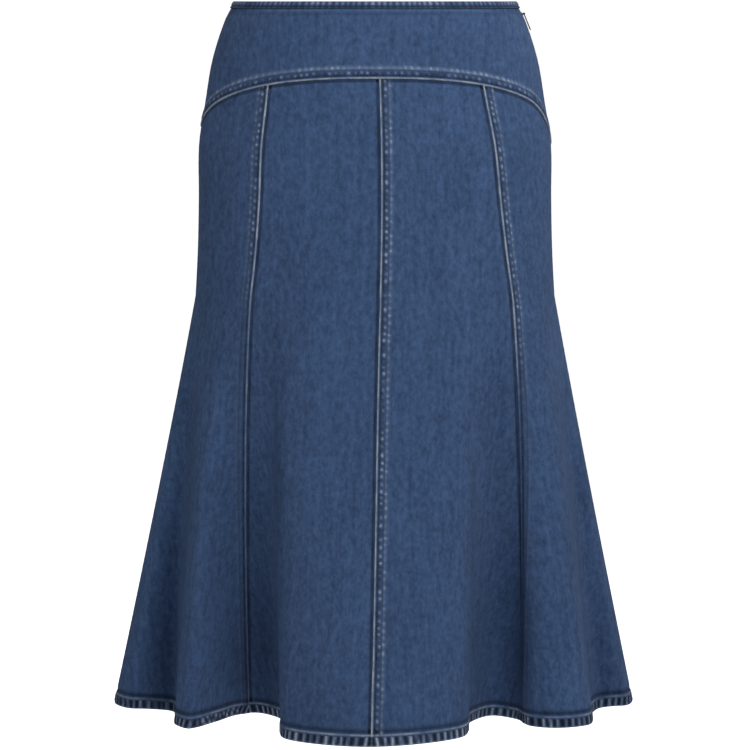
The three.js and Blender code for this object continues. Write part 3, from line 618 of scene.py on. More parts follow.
def tapeMaterial():
    material, tree, shader = newMaterial("wovenTape", 0.85, sheen=0.05, specular=0.3)
    cloth = addNode(tree, "ShaderNodeUVMap", uv_map="cloth").outputs[0]
    weave = useGroup(tree, "twill", {"Vector": cloth, "Pitch": 0.0012, "Slant": 1.0})
    slub = useGroup(tree, "slub", {"Vector": cloth, "Width": 0.0007, "Length": 0.004})
    tone = mathOf(tree, "MULTIPLY_ADD", weave.outputs[0], 0.6, mathOf(tree, "MULTIPLY", slub.outputs[0], 0.4))
    colour = mixOf(tree, tone, (0.007, 0.012, 0.022, 1), (0.022, 0.035, 0.06, 1))
    tree.links.new(colour, shader.inputs["Base Color"])
    bump = addNode(tree, "ShaderNodeBump", {
        "Height": mathOf(tree, "MULTIPLY", weave.outputs[0], 0.0002), "Distance": 1.0})
    tree.links.new(bump.outputs[0], shader.inputs["Normal"])
    return material


def coilMaterial():
    material, tree, shader = newMaterial("nylonCoil", 0.38, specular=0.5)
    place = addNode(tree, "ShaderNodeTexCoord").outputs["Object"]
    noise = addNode(tree, "ShaderNodeTexNoise", {"Vector": place, "Scale": 400.0, "Detail": 2.0})
    colour = mixOf(tree, noise.outputs["Fac"], (0.01, 0.016, 0.03, 1), (0.03, 0.045, 0.075, 1))
    tree.links.new(colour, shader.inputs["Base Color"])
    tree.links.new(mathOf(tree, "MULTIPLY_ADD", noise.outputs["Fac"], 0.25, 0.28), shader.inputs["Roughness"])
    return material


def lacquerMaterial():
    # Satin navy lacquer, rubbed unevenly down to a paler grey
    material, tree, shader = newMaterial("navyLacquer", 0.4, metallic=0.2)
    place = addNode(tree, "ShaderNodeTexCoord").outputs["Object"]
    rubbed = addNode(tree, "ShaderNodeTexNoise", {"Vector": place, "Scale": 420.0, "Detail": 3.0})
    cloud = addNode(tree, "ShaderNodeTexNoise", {"Vector": place, "Scale": 160.0, "Detail": 3.0})
    tone = mathOf(tree, "MULTIPLY_ADD", rubbed.outputs["Fac"], 5.0, -2.5, clamp=True)
    colour = mixOf(tree, tone, (0.009, 0.015, 0.032, 1), (0.032, 0.046, 0.08, 1))
    tree.links.new(colour, shader.inputs["Base Color"])
    tree.links.new(mathOf(tree, "MULTIPLY_ADD", cloud.outputs["Fac"], 0.25, 0.28), shader.inputs["Roughness"])
    bump = addNode(tree, "ShaderNodeBump", {"Height": rubbed.outputs["Fac"], "Distance": 0.00003})
    tree.links.new(bump.outputs[0], shader.inputs["Normal"])
    return material


thread = threadMaterial()
tapeCloth = tapeMaterial()
coil = coilMaterial()
lacquer = lacquerMaterial()
print("Materials made")


# Meshes
def newObject(name, data):
    made = bpy.data.objects.new(name, data)
    bpy.context.scene.collection.objects.link(made)
    return made


def meshPiece(name, points, faces, materials, faceSlots=None, uvs=None, wear=None, shadeAndDarkDye=None):
    mesh = bpy.data.meshes.new(name)
    mesh.from_pydata((np.asarray(points) * mm).tolist(), [], faces)
    for material in materials:
        mesh.materials.append(material)
    if faceSlots is not None:
        mesh.polygons.foreach_set("material_index", np.asarray(faceSlots, dtype=np.int32))
    mesh.polygons.foreach_set("use_smooth", np.ones(len(mesh.polygons), dtype=bool))
    if uvs is not None:
        corners = np.empty(len(mesh.loops), dtype=np.int32)
        mesh.loops.foreach_get("vertex_index", corners)
        layer = mesh.uv_layers.new(name="cloth")
        layer.data.foreach_set("uv", (np.asarray(uvs) * mm)[corners].astype(np.float32).ravel())
    for label, values in (("wear", wear), ("shadeAndDarkDye", shadeAndDarkDye)):
        if values is not None:
            attribute = mesh.attributes.new(label, "FLOAT", "POINT")
            attribute.data.foreach_set("value", np.clip(values, 0, 1.5).astype(np.float32))
    mesh.update()
    return newObject(name, mesh)


def gridFaces(index):
    corners = [index[:-1, :-1], index[1:, :-1], index[1:, 1:], index[:-1, 1:]]
    return np.stack(corners, axis=-1).reshape(-1, 4).tolist()


def joinRows(row, finerRow):
    # Faces from a row to one with three times its columns
    faces = []
    for i in range(len(row) - 1):
        a, b = row[i:i + 2]
        f0, f1, f2, f3 = finerRow[3 * i:3 * i + 4]
        faces += [[a, f0, f1], [a, f1, f2, b], [b, f2, f3]]
    return faces


def clothShell(name, front, inner, innerSlots=None, materials=None, finer=None):
    # A closed wall: a fine outer side, an inner side with half its rows, and four edges.
    # The lowest rows of the outer side may be finer still
    rows, columns = front["outer"].shape[:2]
    kept = rows - (0 if finer is None else finer["outer"].shape[0])
    out = np.arange(kept * columns).reshape(kept, columns)
    faces = gridFaces(out)
    count = kept * columns
    parts = [{key: values[:kept] for key, values in front.items()}]
    sides = [out[:, 0], out[:, -1]]
    if finer is not None:
        low = count + np.arange(finer["outer"][..., 0].size).reshape(finer["outer"].shape[:2])
        count += low.size
        faces += joinRows(out[-1].tolist(), low[0].tolist()) + gridFaces(low)
        parts.append(finer)
        sides = [np.concatenate([sides[0], low[:, 0]]), np.concatenate([sides[1], low[:, -1]])]
    back = count + np.arange(inner.shape[0] * columns).reshape(inner.shape[0], columns)
    outerCount = len(faces)
    faces += [face[::-1] for face in gridFaces(back)]
    innerCount = len(faces)
    faces += np.stack([out[0, :-1], out[0, 1:], back[0, 1:], back[0, :-1]], axis=-1).tolist()
    if finer is None:
        faces += np.stack([out[-1, 1:], out[-1, :-1], back[-1, :-1], back[-1, 1:]], axis=-1).tolist()
    else:
        faces += [face[::-1] for face in joinRows(back[-1].tolist(), low[-1].tolist())]
    for side, backSide, turn in ((sides[0], back[:, 0], 1), (sides[1], back[:, -1], -1)):
        for i in range(inner.shape[0] - 1):
            o0, o1, o2 = (int(v) for v in side[2 * i:2 * i + 3])
            a0, a1 = (int(v) for v in backSide[i:i + 2])
            faces += [face[::turn] for face in ((o1, o0, a0), (o1, a0, a1), (o2, o1, a1))]
    slots = np.zeros(len(faces), dtype=np.int32)
    if innerSlots is not None:
        slots[outerCount:innerCount] = innerSlots.ravel()
    parts.append({key: values[::2] for key, values in front.items()})
    parts[-1]["outer"] = inner
    points = np.vstack([part["outer"].reshape(-1, 3) for part in parts])
    uvs = np.vstack([part["uv"].reshape(-1, 2) for part in parts])
    wear, shadeAndDarkDye = (np.concatenate([part[key].ravel() for part in parts]) for key in ("wear", "shadeAndDarkDye"))
    return meshPiece(name, points, faces, materials or [denim, denimInside], slots, uvs, wear, shadeAndDarkDye)


def areaOf(points):
    one = np.cross(points[1:, :-1] - points[:-1, :-1], points[1:, 1:] - points[:-1, :-1])
    two = np.cross(points[1:, 1:] - points[:-1, :-1], points[:-1, 1:] - points[:-1, :-1])
    return 0.5 * (np.linalg.norm(one, axis=-1).sum() + np.linalg.norm(two, axis=-1).sum()) * mm * mm


stitchRows = []


def stitchAlong(points, normals):
    stitchRows.append((np.asarray(points), np.asarray(normals)))


def rowAt(values, places, place):
    # A value of each row of a grid at a set distance from an edge
    flat = values.reshape(values.shape[0], values.shape[1], -1)
    rising = places if places[0, -1] > places[0, 0] else places[:, ::-1]
    flat = flat if places[0, -1] > places[0, 0] else flat[:, ::-1]
    rows = [[np.interp(place, rising[r], flat[r, :, k]) for k in range(flat.shape[2])]
            for r in range(flat.shape[0])]
    return np.array(rows)


# Gores
gores = [
    # name, and how its first and its last edge are sewn
    ("gore_front_centre_left", "fell", "beside"), ("gore_front_side_left", "fell", "plain"),
    ("gore_back_side_left", "plain", "fell"), ("gore_back_centre_left", "beside", "beside"),
    ("gore_back_centre_right", "fell", "beside"), ("gore_back_side_right", "fell", "plain"),
    ("gore_front_side_right", "plain", "fell"), ("gore_front_centre_right", "beside", "beside"),
]
goreRows = {
    "split": -165, "upper": 38, "lowest": -744, "topSteps": np.array([0.1, 0.6, 1.3, 2.1, 3, 4.2, 6]),
    "columns": 61, "lipHalf": 0.12, "lipOpen": 0.5, "lipLevel": -22, "zipFoot": -186,
    # Levels at the bottom with finer columns, and a distance too far for the yoke edge to mark them
    "finerRows": 16, "farBelow": 500,
    # The grain line's share of the way across, where it isn't in the middle
    "grainLine": {0: 0.15, 7: 0.85, 3: 0.75, 4: 0.25},
}
edgeForms = {"fell": fellForm, "beside": besideFell, "plain": plainForm}


def lipGap(levels, seam):
    # The zip's lips part a little where its slider comes through
    if seam % 8 != 2:
        return np.zeros(len(levels))
    closed = ease(levels, goreRows["zipFoot"], goreRows["zipFoot"] + 8) * goreRows["lipHalf"]
    return closed + ease(levels, goreRows["lipLevel"], goreRows["lipLevel"] + 4) * goreRows["lipOpen"]


def goreSteps(kind):
    return fell["steps"] if kind == "fell" else plain["steps"]


def finerColumns(panel, columns, rows):
    # The lowest rows of the columns, with two more between each
    count = columns["first"].shape[1]
    wanted = np.linspace(0, count - 1, 3 * count - 2)
    places = [np.interp(wanted, np.arange(count), row) for row in columns["first"][-rows:]]
    finer = {"levels": panel["levels"][-rows:], "first": np.array(places)}
    lengths = panel["lengths"][-rows:]
    for key in ("x", "y", "z"):
        values = panel[key + "s"][-rows:]
        finer[key] = np.array([np.interp(*row) for row in zip(places, lengths, values)])
    finer["last"] = lengths[:, -1:] - finer["first"]
    return finer


def wornAndShadedSurface(index, grid, rowLevels, along, below):
    # The creases, seams, yoke edge and hem laid on a gore's plain form, with their wear and painted shade
    normals = normalsOf(grid["points"])
    up = rowLevels + skirt["length"]
    hemAlong = seamPlaces[index] + grid["first"]
    aboveHem = ease(up, 8.5, 12)
    soft = creaseForm(index, grid["first"], grid["last"], -rowLevels)
    height = soft.copy()
    wear = np.zeros_like(height)
    shadeAndDarkDye = np.zeros_like(height)
    _, firstEdge, lastEdge = gores[index]
    edges = ((firstEdge, grid["first"], index, 0.3), (lastEdge, grid["last"], index + 1, 4.1))
    for kind, across, seam, offset in edges:
        more = {"fade": seamFade(seam, rowLevels)} if kind == "fell" else {}
        h, w, d = edgeForms[kind](across, along, seam + offset, **more)
        height += h * (0.6 + 0.4 * aboveHem if kind == "fell" else 1)
        wear += w * (0.25 + 0.75 * aboveHem)
        shadeAndDarkDye += d * (0.35 + 0.65 * aboveHem)
    # Painted shadow under the yoke's folded edge, along the gore's top
    h, w, d = besideFell(below, hemAlong, 0.9)
    hemHeight, hemWear, hemShadeAndDye = hemForm(up, hemAlong)
    # Towards the sides the hem's bars are lightened less and painted darker: painted shade
    aside = ease(np.abs(grid["x"]), *hem["sides"])
    height += h + hemHeight
    wear += w + hemWear * (1 - 0.3 * aside)
    shadeAndDarkDye += d + hemShadeAndDye * (1 + 0.12 * aside)
    share = goreRows["grainLine"].get(index, 0.5)
    fromGrain = grid["first"] * (1 - share) - grid["last"] * share
    return {
        "outer": grid["points"] + normals * height[..., None], "wear": wear, "shadeAndDarkDye": shadeAndDarkDye,
        "uv": np.stack([fromGrain + 400 * index, along], axis=-1),
    }, normals, soft


def makeGore(index):
    name, firstEdge, lastEdge = gores[index]
    levels = np.arange(-60.0, -float(skirt["length"]) - 0.01, -grain["levelStep"])
    levels = np.append(levels, -float(skirt["length"]))
    panel = measuredPanel(levels, seamDegrees(index, levels), seamDegrees(index + 1, levels), index)
    firstSteps, lastSteps = goreSteps(firstEdge), goreSteps(lastEdge)
    middle = goreRows["columns"] - len(firstSteps) - len(lastSteps)
    shares = bendShares(panel, middle)
    openings = (lipGap(levels, index), lipGap(levels, index + 1))
    columns = columnsOf(panel, firstSteps, lastSteps, shares, *openings)
    top, slope = seamMeeting(columns)
    start = top - goreRows["topSteps"][:, None] / slope
    split = goreRows["split"]
    share = np.linspace(0, 1, goreRows["upper"] + 2)[1:-1, None]
    hemLevels = hem["steps"][::-1] - skirt["length"]
    plainCount = int(round((split - hemLevels[0]) / grain["levelStep"]))
    plainCount += (len(goreRows["topSteps"]) + goreRows["upper"] + plainCount + len(hemLevels)) % 2 == 0
    lower = np.linspace(split, hemLevels[0], plainCount + 1)[:-1]
    lower = np.concatenate([lower, hemLevels])[:, None] * np.ones((1, columns["x"].shape[1]))
    rowLevels = np.vstack([start, start[-1] + (split - start[-1]) * share, lower])
    if rowLevels.shape[0] % 2 == 0:
        rowLevels = np.delete(rowLevels, len(goreRows["topSteps"]) + 2, axis=0)
    grid = atLevels(columns, rowLevels)
    up = rowLevels + skirt["length"]
    along = grid["down"] - rowLevels[0]
    front, normals, soft = wornAndShadedSurface(index, grid, rowLevels, along, (top - rowLevels) * slope)
    hemRows = len(hemLevels)
    finer = finerColumns(panel, columns, goreRows["finerRows"])
    count = finer["first"].shape[1]
    finerLevels = hemLevels[:, None] * np.ones((1, count))
    finerAlong = np.array([np.interp(np.linspace(0, 1, count), np.linspace(0, 1, along.shape[1]), row)
                           for row in along[-hemRows:]])
    finerGrid = atLevels(finer, finerLevels)
    below = np.full_like(finerLevels, goreRows["farBelow"])
    low = wornAndShadedSurface(index, finerGrid, finerLevels, finerAlong, below)[0]
    outer = front["outer"]
    turned = 1 - ease(up[::2], skirt["hemDepth"] - 0.6, skirt["hemDepth"] + 0.6)
    wall = skirt["wall"] + (skirt["hemWall"] - skirt["wall"]) * turned - soft[::2]
    inner = grid["points"][::2] - normals[::2] * wall[..., None]
    centre = (up[::2][:-1, :-1] + up[::2][1:, 1:]) / 2
    slots = (centre > skirt["hemDepth"]).astype(np.int32)
    piece = clothShell(name + "_cloth", front, inner, slots, finer=low)
    for kind, across in ((firstEdge, grid["first"]), (lastEdge, grid["last"])):
        if kind == "fell":
            for place in fell["rows"]:
                stitchAlong(rowAt(outer, across, place)[2:-3], rowAt(normals, across, place)[2:-3])
    row = int(np.abs(hemLevels + skirt["length"] - hem["stitchRow"]).argmin())
    stitchAlong(low["outer"][row], normalsOf(finerGrid["points"])[row])
    width = (grid["first"] + grid["last"]).max(axis=1)
    print(name, outer.shape, "area %.4f m2" % areaOf(grid["points"]),
          "width %.3f" % (width.max() * mm), "length %.3f" % (grid["down"][-1].max() * mm))
    return piece


def layCloth(piece, node):
    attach(piece, "skirt")
    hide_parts(node)


for goreIndex in range(8):
    clothPieces.append((makeGore(goreIndex), gores[goreIndex][0]))
print("Gores made")

# Yokes, whose lower edge is folded over the gores
yokes = {
    "front": ("yoke_front", 270, 450, 8), "back": ("yoke_back", 90, 270, 2),
    "columns": 331, "upper": 35, "top": -1.3,
}


def makeYoke(key):
    name, startTurn, endTurn, seed = yokes[key]
    levels = np.arange(yokes["top"], -152.0, -grain["levelStep"])
    ones = np.ones(len(levels))
    panel = measuredPanel(levels, startTurn * ones, endTurn * ones)
    middle = yokes["columns"] - 2 * len(plain["steps"])
    openings = [lipGap(levels, 2) if turn % 360 == 90 else None for turn in (startTurn, endTurn)]
    shares = np.linspace(0, 1, middle + 2)[1:-1]
    columns = columnsOf(panel, plain["steps"], plain["steps"], shares, *openings)
    bottom, slope = seamMeeting(columns)
    edge = bottom + fell["steps"][:, None] / slope
    share = np.linspace(0, 1, yokes["upper"])[:, None]
    rowLevels = np.vstack([yokes["top"] + (edge[-1] - yokes["top"]) * share[:-1], edge[::-1]])
    if rowLevels.shape[0] % 2 == 0:
        rowLevels = np.delete(rowLevels, 3, axis=0)
    grid = atLevels(columns, rowLevels)
    normals = normalsOf(grid["points"])
    up = (rowLevels - bottom) * slope
    along = (grid["first"][-1] / slope.mean())[None, :] * np.ones_like(up)
    height, wear, shadeAndDarkDye = fellForm(up, along, seed, yokeFell)
    # A worn ridge 9 mm below the waist; painted shadow 7 mm down, under the binding's lower edge, and a
    # darker line 12 mm down
    belowWaist = -rowLevels
    wear += (0.16 + 0.1 * wobble(along, seed)) * bell(belowWaist, 8.8, 1.2)
    shadeAndDarkDye += 0.35 * bell(belowWaist, 12, 1.4) + 0.6 * bell(belowWaist, 7, 0.6)
    for across in (grid["first"], grid["last"]):
        h, w, d = plainForm(across, grid["down"], seed + 2)
        height += h
        wear += w
        shadeAndDarkDye += d
    outer = grid["points"] + normals * height[..., None]
    inner = grid["points"][::2] - normals[::2] * skirt["wall"]
    uv = np.stack([(grid["first"] - grid["last"]) / 2 + 4000 + 700 * seed, -rowLevels], axis=-1)
    slots = np.ones((inner.shape[0] - 1, inner.shape[1] - 1), dtype=np.int32)
    front = {"outer": outer, "uv": uv, "wear": wear, "shadeAndDarkDye": shadeAndDarkDye}
    piece = clothShell(name + "_cloth", front, inner, slots)
    for place in fell["rows"]:
        places = up.T[:, ::-1]
        stitchAlong(rowAt(outer.transpose(1, 0, 2)[:, ::-1], places, place)[2:-2],
                    rowAt(normals.transpose(1, 0, 2)[:, ::-1], places, place)[2:-2])
    print(name, outer.shape, "area %.4f m2" % areaOf(grid["points"]),
          "width %.3f" % (grid["first"][-1].max() * mm), "length %.3f" % (grid["down"][-1].max() * mm))
    return piece


for yokeKey in ("front", "back"):
    clothPieces.append((makeYoke(yokeKey), yokes[yokeKey][0]))
print("Yokes made")

# Waist binding, folded over the top of the yokes
binding = {
    "stations": 511, "lip": 0.75, "pitch": 6.0, "pucker": 0.55, "stitchLevel": -5.2,
    # height, offset, share of the puckers and of the wear at each corner of the folded strip
    "profile": [
        (-7.0, 0.3, 0, 0), (-7.1, 0.9, 0.4, 0.1), (-6.6, 1.3, 0.5, 0.3), (-5.8, 1.2, 0.3, 0.1),
        (-5.2, 0.9, 0, 0), (-4.5, 1.2, 0.5, 0.1), (-3.4, 1.5, 1, 0.6), (-2.0, 1.55, 1, 0.8),
        (-0.8, 1.3, 0.8, 0.7), (-0.1, 0.75, 0.5, 0.8), (0.2, -0.1, 0.3, 0.5), (0.2, -1.2, 0.3, 0.3),
        (-0.1, -2.0, 0.3, 0.3), (-0.9, -2.5, 0.3, 0.2), (-3.0, -2.65, 0.4, 0.1), (-6.5, -2.6, 0.2, 0.1),
        (-7.0, -2.3, 0, 0), (-7.0, -1.6, 0, 0), (-1.0, -1.6, 0, 0), (-1.0, 0.3, 0, 0),
    ],
    # Corners of the profile that each face of an end cap joins
    "caps": ((0, 19, 8, 7, 6, 5, 4, 3, 2, 1), (19, 18, 13, 12, 11, 10, 9, 8), (18, 17, 16, 15, 14, 13)),
}


def ringNormal(degrees, z):
    def at(d, level):
        return np.stack([*ringPoint(ringSize(level), d), np.full_like(d, level)], axis=-1)
    turn = at(degrees + 0.5, z) - at(degrees - 0.5, z)
    rise = at(degrees, min(z + 1, 0)) - at(degrees, z - 1)
    normal = np.cross(turn, rise)
    return at(degrees, z), normal / np.linalg.norm(normal, axis=-1, keepdims=True)


def evenDegrees(z, start, end, count, gap):
    degrees = np.linspace(start, end, 1441)
    lengths = lengthsOf(*ringPoint(ringSize(z), degrees))
    return np.interp(np.linspace(gap, lengths[-1] - gap, count), lengths, degrees), lengths[-1]


def makeBinding():
    degrees, around = evenDegrees(-3.0, 90, 450, binding["stations"], binding["lip"])
    along = np.linspace(0, around, binding["stations"])
    dots = crests(along, binding["pitch"], 1.1, 1.0)
    rings, wears, bindingShadeAndDye, shares = [], [], [], []
    walked = 0
    for i, (z, offset, pucker, wear) in enumerate(binding["profile"]):
        point, normal = ringNormal(degrees, z)
        lift = pucker * binding["pucker"] * (dots - 0.4) * (1 if offset > -1.5 else -1)
        rings.append(point + normal * (offset + lift)[:, None])
        wears.append(wear * (-0.08 + 1.35 * dots))
        # Painted shade in the sewn channel and between the puckers
        bindingShadeAndDye.append((1.3 * bell(z, -5.4, 0.9) * (offset > 0) + 1.15 * (0.7 - dots) * pucker))
        if i:
            walked += math.hypot(z - binding["profile"][i - 1][0], offset - binding["profile"][i - 1][1])
        shares.append(walked)
    rings = np.array(rings)
    count, stations = rings.shape[:2]
    index = np.arange(count * stations).reshape(count, stations)
    ahead = np.roll(index, -1, axis=0)
    corners = [index[:, :-1], index[:, 1:], ahead[:, 1:], ahead[:, :-1]]
    faces = np.stack(corners, axis=-1).reshape(-1, 4).tolist()
    for station, flip in ((0, False), (stations - 1, True)):
        ring = index[:, station].tolist()
        cap = [[ring[k] for k in group] for group in binding["caps"]]
        faces += [face[::-1] if flip else face for face in cap]
    uv = np.stack([np.tile(along, (count, 1)) + 9000,
                   np.tile(np.array(shares)[:, None], (1, stations))], axis=-1)
    piece = meshPiece("waist_binding_cloth", rings.reshape(-1, 3), faces, [denim],
                      uvs=uv.reshape(-1, 2), wear=np.array(wears).ravel(), shadeAndDarkDye=np.array(bindingShadeAndDye).ravel())
    point, normal = ringNormal(degrees, binding["stitchLevel"])
    stitchAlong((point + normal * 1.0)[2:-2], normal[2:-2])
    return piece


clothPieces.append((makeBinding(), "waist_binding"))
print("Binding made")

# Zip: two tapes behind the side seam and their coil; the slider and pull are the part's own
zipParts = {
    "top": -9, "foot": -186, "half": 12, "gap": 0.6, "wall": 0.8, "partHalf": 0.75, "partTop": -17,
    "partFoot": -24, "rowStep": 3, "columns": 17, "coilHalf": 1.9, "coilBehind": 0.5, "coilPitch": 1.3,
    "coilSeed": 5,
}


def seamStep(z, steps):
    # Degrees of points at set distances round from the side seam
    turns = np.linspace(60, 120, 241)
    lengths = lengthsOf(*ringPoint(ringSize(z), turns))
    return np.interp(np.interp(90, turns, lengths) + steps, lengths, turns)


def tapeHalf(side):
    count = 2 * int((zipParts["top"] - zipParts["foot"]) / zipParts["rowStep"] / 2) + 1
    levels = np.linspace(zipParts["top"], zipParts["foot"], count)
    parting = 0.03 + zipParts["partHalf"] * ease(levels, zipParts["partFoot"], zipParts["partTop"])
    share = np.linspace(0, 1, zipParts["columns"])
    share = share if side > 0 else share[::-1]
    outer, inner = [], []
    for z, part in zip(levels, parting):
        point, normal = ringNormal(seamStep(z, side * (part + (zipParts["half"] - part) * share)), z)
        front = skirt["wall"] + zipParts["gap"]
        outer.append(point - normal * front)
        inner.append(point - normal * (front + zipParts["wall"]))
    uv = np.stack([np.tile(share * zipParts["half"] * side, (count, 1)),
                   np.tile(-levels[:, None], (1, len(share)))], axis=-1)
    return np.array(outer), np.array(inner)[::2], uv


def makeTape():
    halves = []
    for side in (-1, 1):
        outer, inner, uv = tapeHalf(side)
        none = np.zeros(outer.shape[:2])
        front = {"outer": outer, "uv": uv, "wear": none, "shadeAndDarkDye": none}
        halves.append(clothShell("tape_half", front, inner, materials=[tapeCloth, tapeCloth]))
    tape = halves[0]
    with bpy.context.temp_override(active_object=tape, selected_editable_objects=halves):
        bpy.ops.object.join()
    tape.name = "side_zip_tape_cloth"
    return tape


def nodeGroup(name, inputs):
    geometry = ("Geometry", "NodeSocketGeometry")
    return newTree(name, "GeometryNodeTree", [(*geometry, None)] + inputs, [geometry])


def alongPath(tree, given, shape, turnShare):
    # Places a shape evenly along each path, lying on the cloth's normal
    curve = addNode(tree, "GeometryNodeMeshToCurve", {"Mesh": given.outputs["Geometry"]})
    even = addNode(tree, "GeometryNodeResampleCurve", {
        "Curve": curve.outputs[0], "Length": given.outputs["Pitch"]}, mode="LENGTH")
    normal = addNode(tree, "GeometryNodeInputNamedAttribute", {"Name": "clothNormal"},
                     data_type="FLOAT_VECTOR")
    tangent = addNode(tree, "GeometryNodeInputTangent")
    first = addNode(tree, "FunctionNodeAlignRotationToVector", {"Vector": tangent.outputs[0]}, axis="X")
    second = addNode(tree, "FunctionNodeAlignRotationToVector", {
        "Rotation": first.outputs[0], "Vector": normal.outputs["Attribute"]}, axis="Z", pivot_axis="X")
    size = addNode(tree, "FunctionNodeRandomValue", {
        2: 1 - turnShare, 3: 1 + turnShare, "Seed": given.outputs["Seed"]}, data_type="FLOAT")
    placed = addNode(tree, "GeometryNodeInstanceOnPoints", {
        "Points": even.outputs[0], "Instance": shape, "Rotation": second.outputs[0],
        "Scale": size.outputs[1]})
    return addNode(tree, "GeometryNodeRealizeInstances", {"Geometry": placed.outputs[0]}).outputs[0]


def finishTree(tree, given, result, geometry):
    smooth = addNode(tree, "GeometryNodeSetShadeSmooth", {"Geometry": geometry})
    last = addNode(tree, "GeometryNodeSetMaterial", {
        "Geometry": smooth.outputs[0], "Material": given.outputs["Material"]})
    tree.links.new(last.outputs[0], result.inputs["Geometry"])


def stitchTree():
    tree, given, result = nodeGroup("sewnRow", [
        ("Pitch", "NodeSocketFloat", 0.0032), ("Length", "NodeSocketFloat", 0.0025),
        ("Width", "NodeSocketFloat", 0.0007), ("Height", "NodeSocketFloat", 0.0005),
        ("Seed", "NodeSocketInt", 3), ("Material", "NodeSocketMaterial", None)])
    ball = addNode(tree, "GeometryNodeMeshUVSphere", {"Segments": 5, "Rings": 4, "Radius": 0.5})
    upright = addNode(tree, "GeometryNodeTransform", {
        "Geometry": ball.outputs[0], "Rotation": (0, math.pi / 2, 0)})
    size = addNode(tree, "ShaderNodeCombineXYZ", {
        "X": given.outputs["Length"], "Y": given.outputs["Width"], "Z": given.outputs["Height"]})
    shape = addNode(tree, "GeometryNodeTransform", {"Geometry": upright.outputs[0], "Scale": size.outputs[0]})
    finishTree(tree, given, result, alongPath(tree, given, shape.outputs[0], 0.08))
    return tree


def coilTree():
    tree, given, result = nodeGroup("zipCoil", [
        ("Pitch", "NodeSocketFloat", 0.0013), ("Half Width", "NodeSocketFloat", 0.002),
        ("Thickness", "NodeSocketFloat", 0.00032), ("Height", "NodeSocketFloat", 0.0005),
        ("Seed", "NodeSocketInt", 5), ("Material", "NodeSocketMaterial", None)])
    ring = addNode(tree, "GeometryNodeCurvePrimitiveCircle", {
        "Resolution": 10, "Radius": given.outputs["Half Width"]}, mode="RADIUS")
    thin = addNode(tree, "GeometryNodeCurvePrimitiveCircle", {
        "Resolution": 4, "Radius": given.outputs["Thickness"]}, mode="RADIUS")
    loop = addNode(tree, "GeometryNodeCurveToMesh", {
        "Curve": ring.outputs[0], "Profile Curve": thin.outputs[0]})
    size = addNode(tree, "ShaderNodeCombineXYZ", {"X": 0.3, "Y": 1.0, "Z": 1.0})
    squeezed = addNode(tree, "GeometryNodeTransform", {
        "Geometry": loop.outputs[0], "Rotation": (0, math.radians(68), 0), "Scale": size.outputs[0]})
    finishTree(tree, given, result, alongPath(tree, given, squeezed.outputs[0], 0.0))
    return tree


def growAlong(name, rows, tree, values):
    # Runs a tree over a set of paths and keeps the result as a plain mesh
    points = np.vstack([row[0] for row in rows])
    normals = np.vstack([row[1] for row in rows])
    edges = []
    start = 0
    for path, _ in rows:
        edges += [(start + i, start + i + 1) for i in range(len(path) - 1)]
        start += len(path)
    mesh = bpy.data.meshes.new(name + "_paths")
    mesh.from_pydata((points * mm).tolist(), edges, [])
    attribute = mesh.attributes.new("clothNormal", "FLOAT_VECTOR", "POINT")
    attribute.data.foreach_set("vector", normals.astype(np.float32).ravel())
    paths = newObject(name + "_paths", mesh)
    modifier = paths.modifiers.new("repeat", "NODES")
    modifier.node_group = tree
    for item in tree.interface.items_tree:
        if item.item_type == "SOCKET" and item.in_out == "INPUT" and item.name in values:
            modifier[item.identifier] = values[item.name]
    graph = bpy.context.evaluated_depsgraph_get()
    made = bpy.data.meshes.new_from_object(paths.evaluated_get(graph))
    paths.modifiers.clear()
    bpy.data.objects.remove(paths)
    made.name = name
    print(name, len(made.polygons), "faces")
    return newObject(name, made)


tape = makeTape()
levels = np.linspace(zipParts["partFoot"], zipParts["foot"] + 4, 80)
coilDepth = skirt["wall"] + zipParts["gap"] + zipParts["wall"] + zipParts["coilBehind"]
coilPath = [ringNormal(np.array([90.0]), z) for z in levels]
coilRow = (np.array([p[0] - n[0] * coilDepth for p, n in coilPath]), np.array([n[0] for _, n in coilPath]))
teeth = growAlong("zip_coil", [coilRow], coilTree(), {
    "Pitch": zipParts["coilPitch"] * mm, "Half Width": zipParts["coilHalf"] * mm, "Material": coil,
    "Seed": zipParts["coilSeed"]})
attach(teeth, "skirt")
layCloth(tape, "side_zip_tape")
for node in ("zip_slider", "zip_pull"):
    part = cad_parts[node]
    part.data.materials.clear()
    part.data.materials.append(lacquer)
print("Zip made")

for clothPiece, node in clothPieces:
    layCloth(clothPiece, node)

# Topstitching in the sewn channels
sewing = {"pitch": 3.2, "length": 2.5, "width": 0.75, "height": 0.6, "seed": 3}
stitches = growAlong("topstitching", stitchRows, stitchTree(), {
    "Pitch": sewing["pitch"] * mm, "Length": sewing["length"] * mm, "Width": sewing["width"] * mm,
    "Height": sewing["height"] * mm, "Seed": sewing["seed"], "Material": thread})
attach(stitches, "skirt")
print("Stitches made")

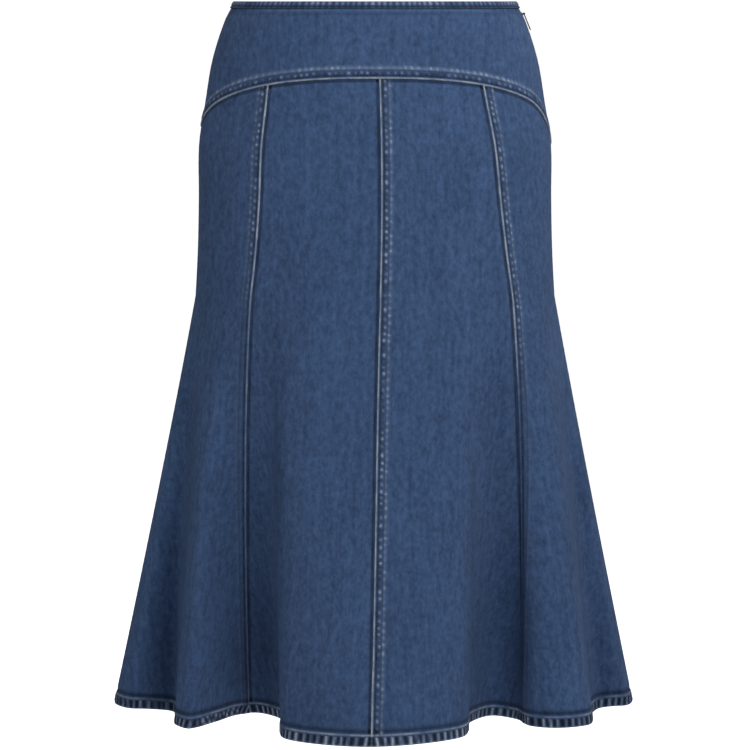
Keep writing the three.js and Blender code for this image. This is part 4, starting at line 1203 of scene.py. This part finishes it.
# Floor, light and camera
studio = {
    "floorLevel": -1.11, "floorSize": 500, "sky": 0.02, "white": 1.05, "aim": (0, 0, -0.35),
    "cameraDistance": 3.45, "cameraTilt": 6.325, "lens": 161.76,
    "lights": [
        # name, degrees round from the front, degrees up, distance, size and power
        ("key", 21, 35, 2.0, 1.0, 19.4), ("upperLeft", 50, 48, 3.4, 1.6, 11.6),
        ("upperRight", -50, 45, 3.4, 1.6, 16.9), ("right", -75, 10, 4.6, 2.2, 23.4),
        ("rim", 88, 50, 2.0, 1.0, 10.5),
        ("behindLeft", 145, 32, 3.2, 1.6, 19), ("behindRight", -150, 32, 3.2, 1.6, 17),
    ],
}


def whiteToCamera(tree, strength, lightStrength):
    # Shines white only where the camera looks straight at it
    seen = addNode(tree, "ShaderNodeLightPath").outputs["Is Camera Ray"]
    glow = mathOf(tree, "MULTIPLY_ADD", seen, studio["white"] - lightStrength, lightStrength)
    tree.links.new(glow, strength)


def makeFloor():
    half = studio["floorSize"] / 2
    level = studio["floorLevel"]
    mesh = bpy.data.meshes.new("floor")
    corners = [(-half, -half, level), (half, -half, level), (half, half, level), (-half, half, level)]
    mesh.from_pydata(corners, [], [(0, 1, 2, 3)])
    material, tree, shader = newMaterial("paleFloor", 0.9)
    shader.inputs["Base Color"].default_value = (0.8, 0.8, 0.8, 1)
    shader.inputs["Emission Color"].default_value = (1, 1, 1, 1)
    whiteToCamera(tree, shader.inputs["Emission Strength"], 0)
    mesh.materials.append(material)
    newObject("floor", mesh)


def addLight(name, turn, rise, distance, size, power):
    light = bpy.data.lights.new(name, "AREA")
    light.shape = "DISK"
    light.size = size
    light.energy = power
    lamp = newObject(name, light)
    around, up = math.radians(turn), math.radians(rise)
    away = (math.sin(around) * math.cos(up), -math.cos(around) * math.cos(up), math.sin(up))
    lamp.location = [studio["aim"][i] + distance * away[i] for i in range(3)]
    lamp.rotation_euler = (math.radians(90) - up, 0, around)


makeFloor()
scene = bpy.context.scene
world = bpy.data.worlds.new("studio")
world.use_nodes = True
world.node_tree.nodes["Background"].inputs["Color"].default_value = (1, 1, 1, 1)
whiteToCamera(world.node_tree, world.node_tree.nodes["Background"].inputs["Strength"], studio["sky"])
scene.world = world
for row in studio["lights"]:
    addLight(*row)
camera = bpy.data.cameras.new("camera")
camera.lens = studio["lens"]
camera.sensor_width = 36
camera.clip_end = 200
viewer = newObject("camera", camera)
viewer.location = (0, -studio["cameraDistance"], 0)
viewer.rotation_euler = (math.radians(90 - studio["cameraTilt"]), 0, 0)
scene.camera = viewer
scene.view_settings.view_transform = "Standard"
print("Light and camera made")
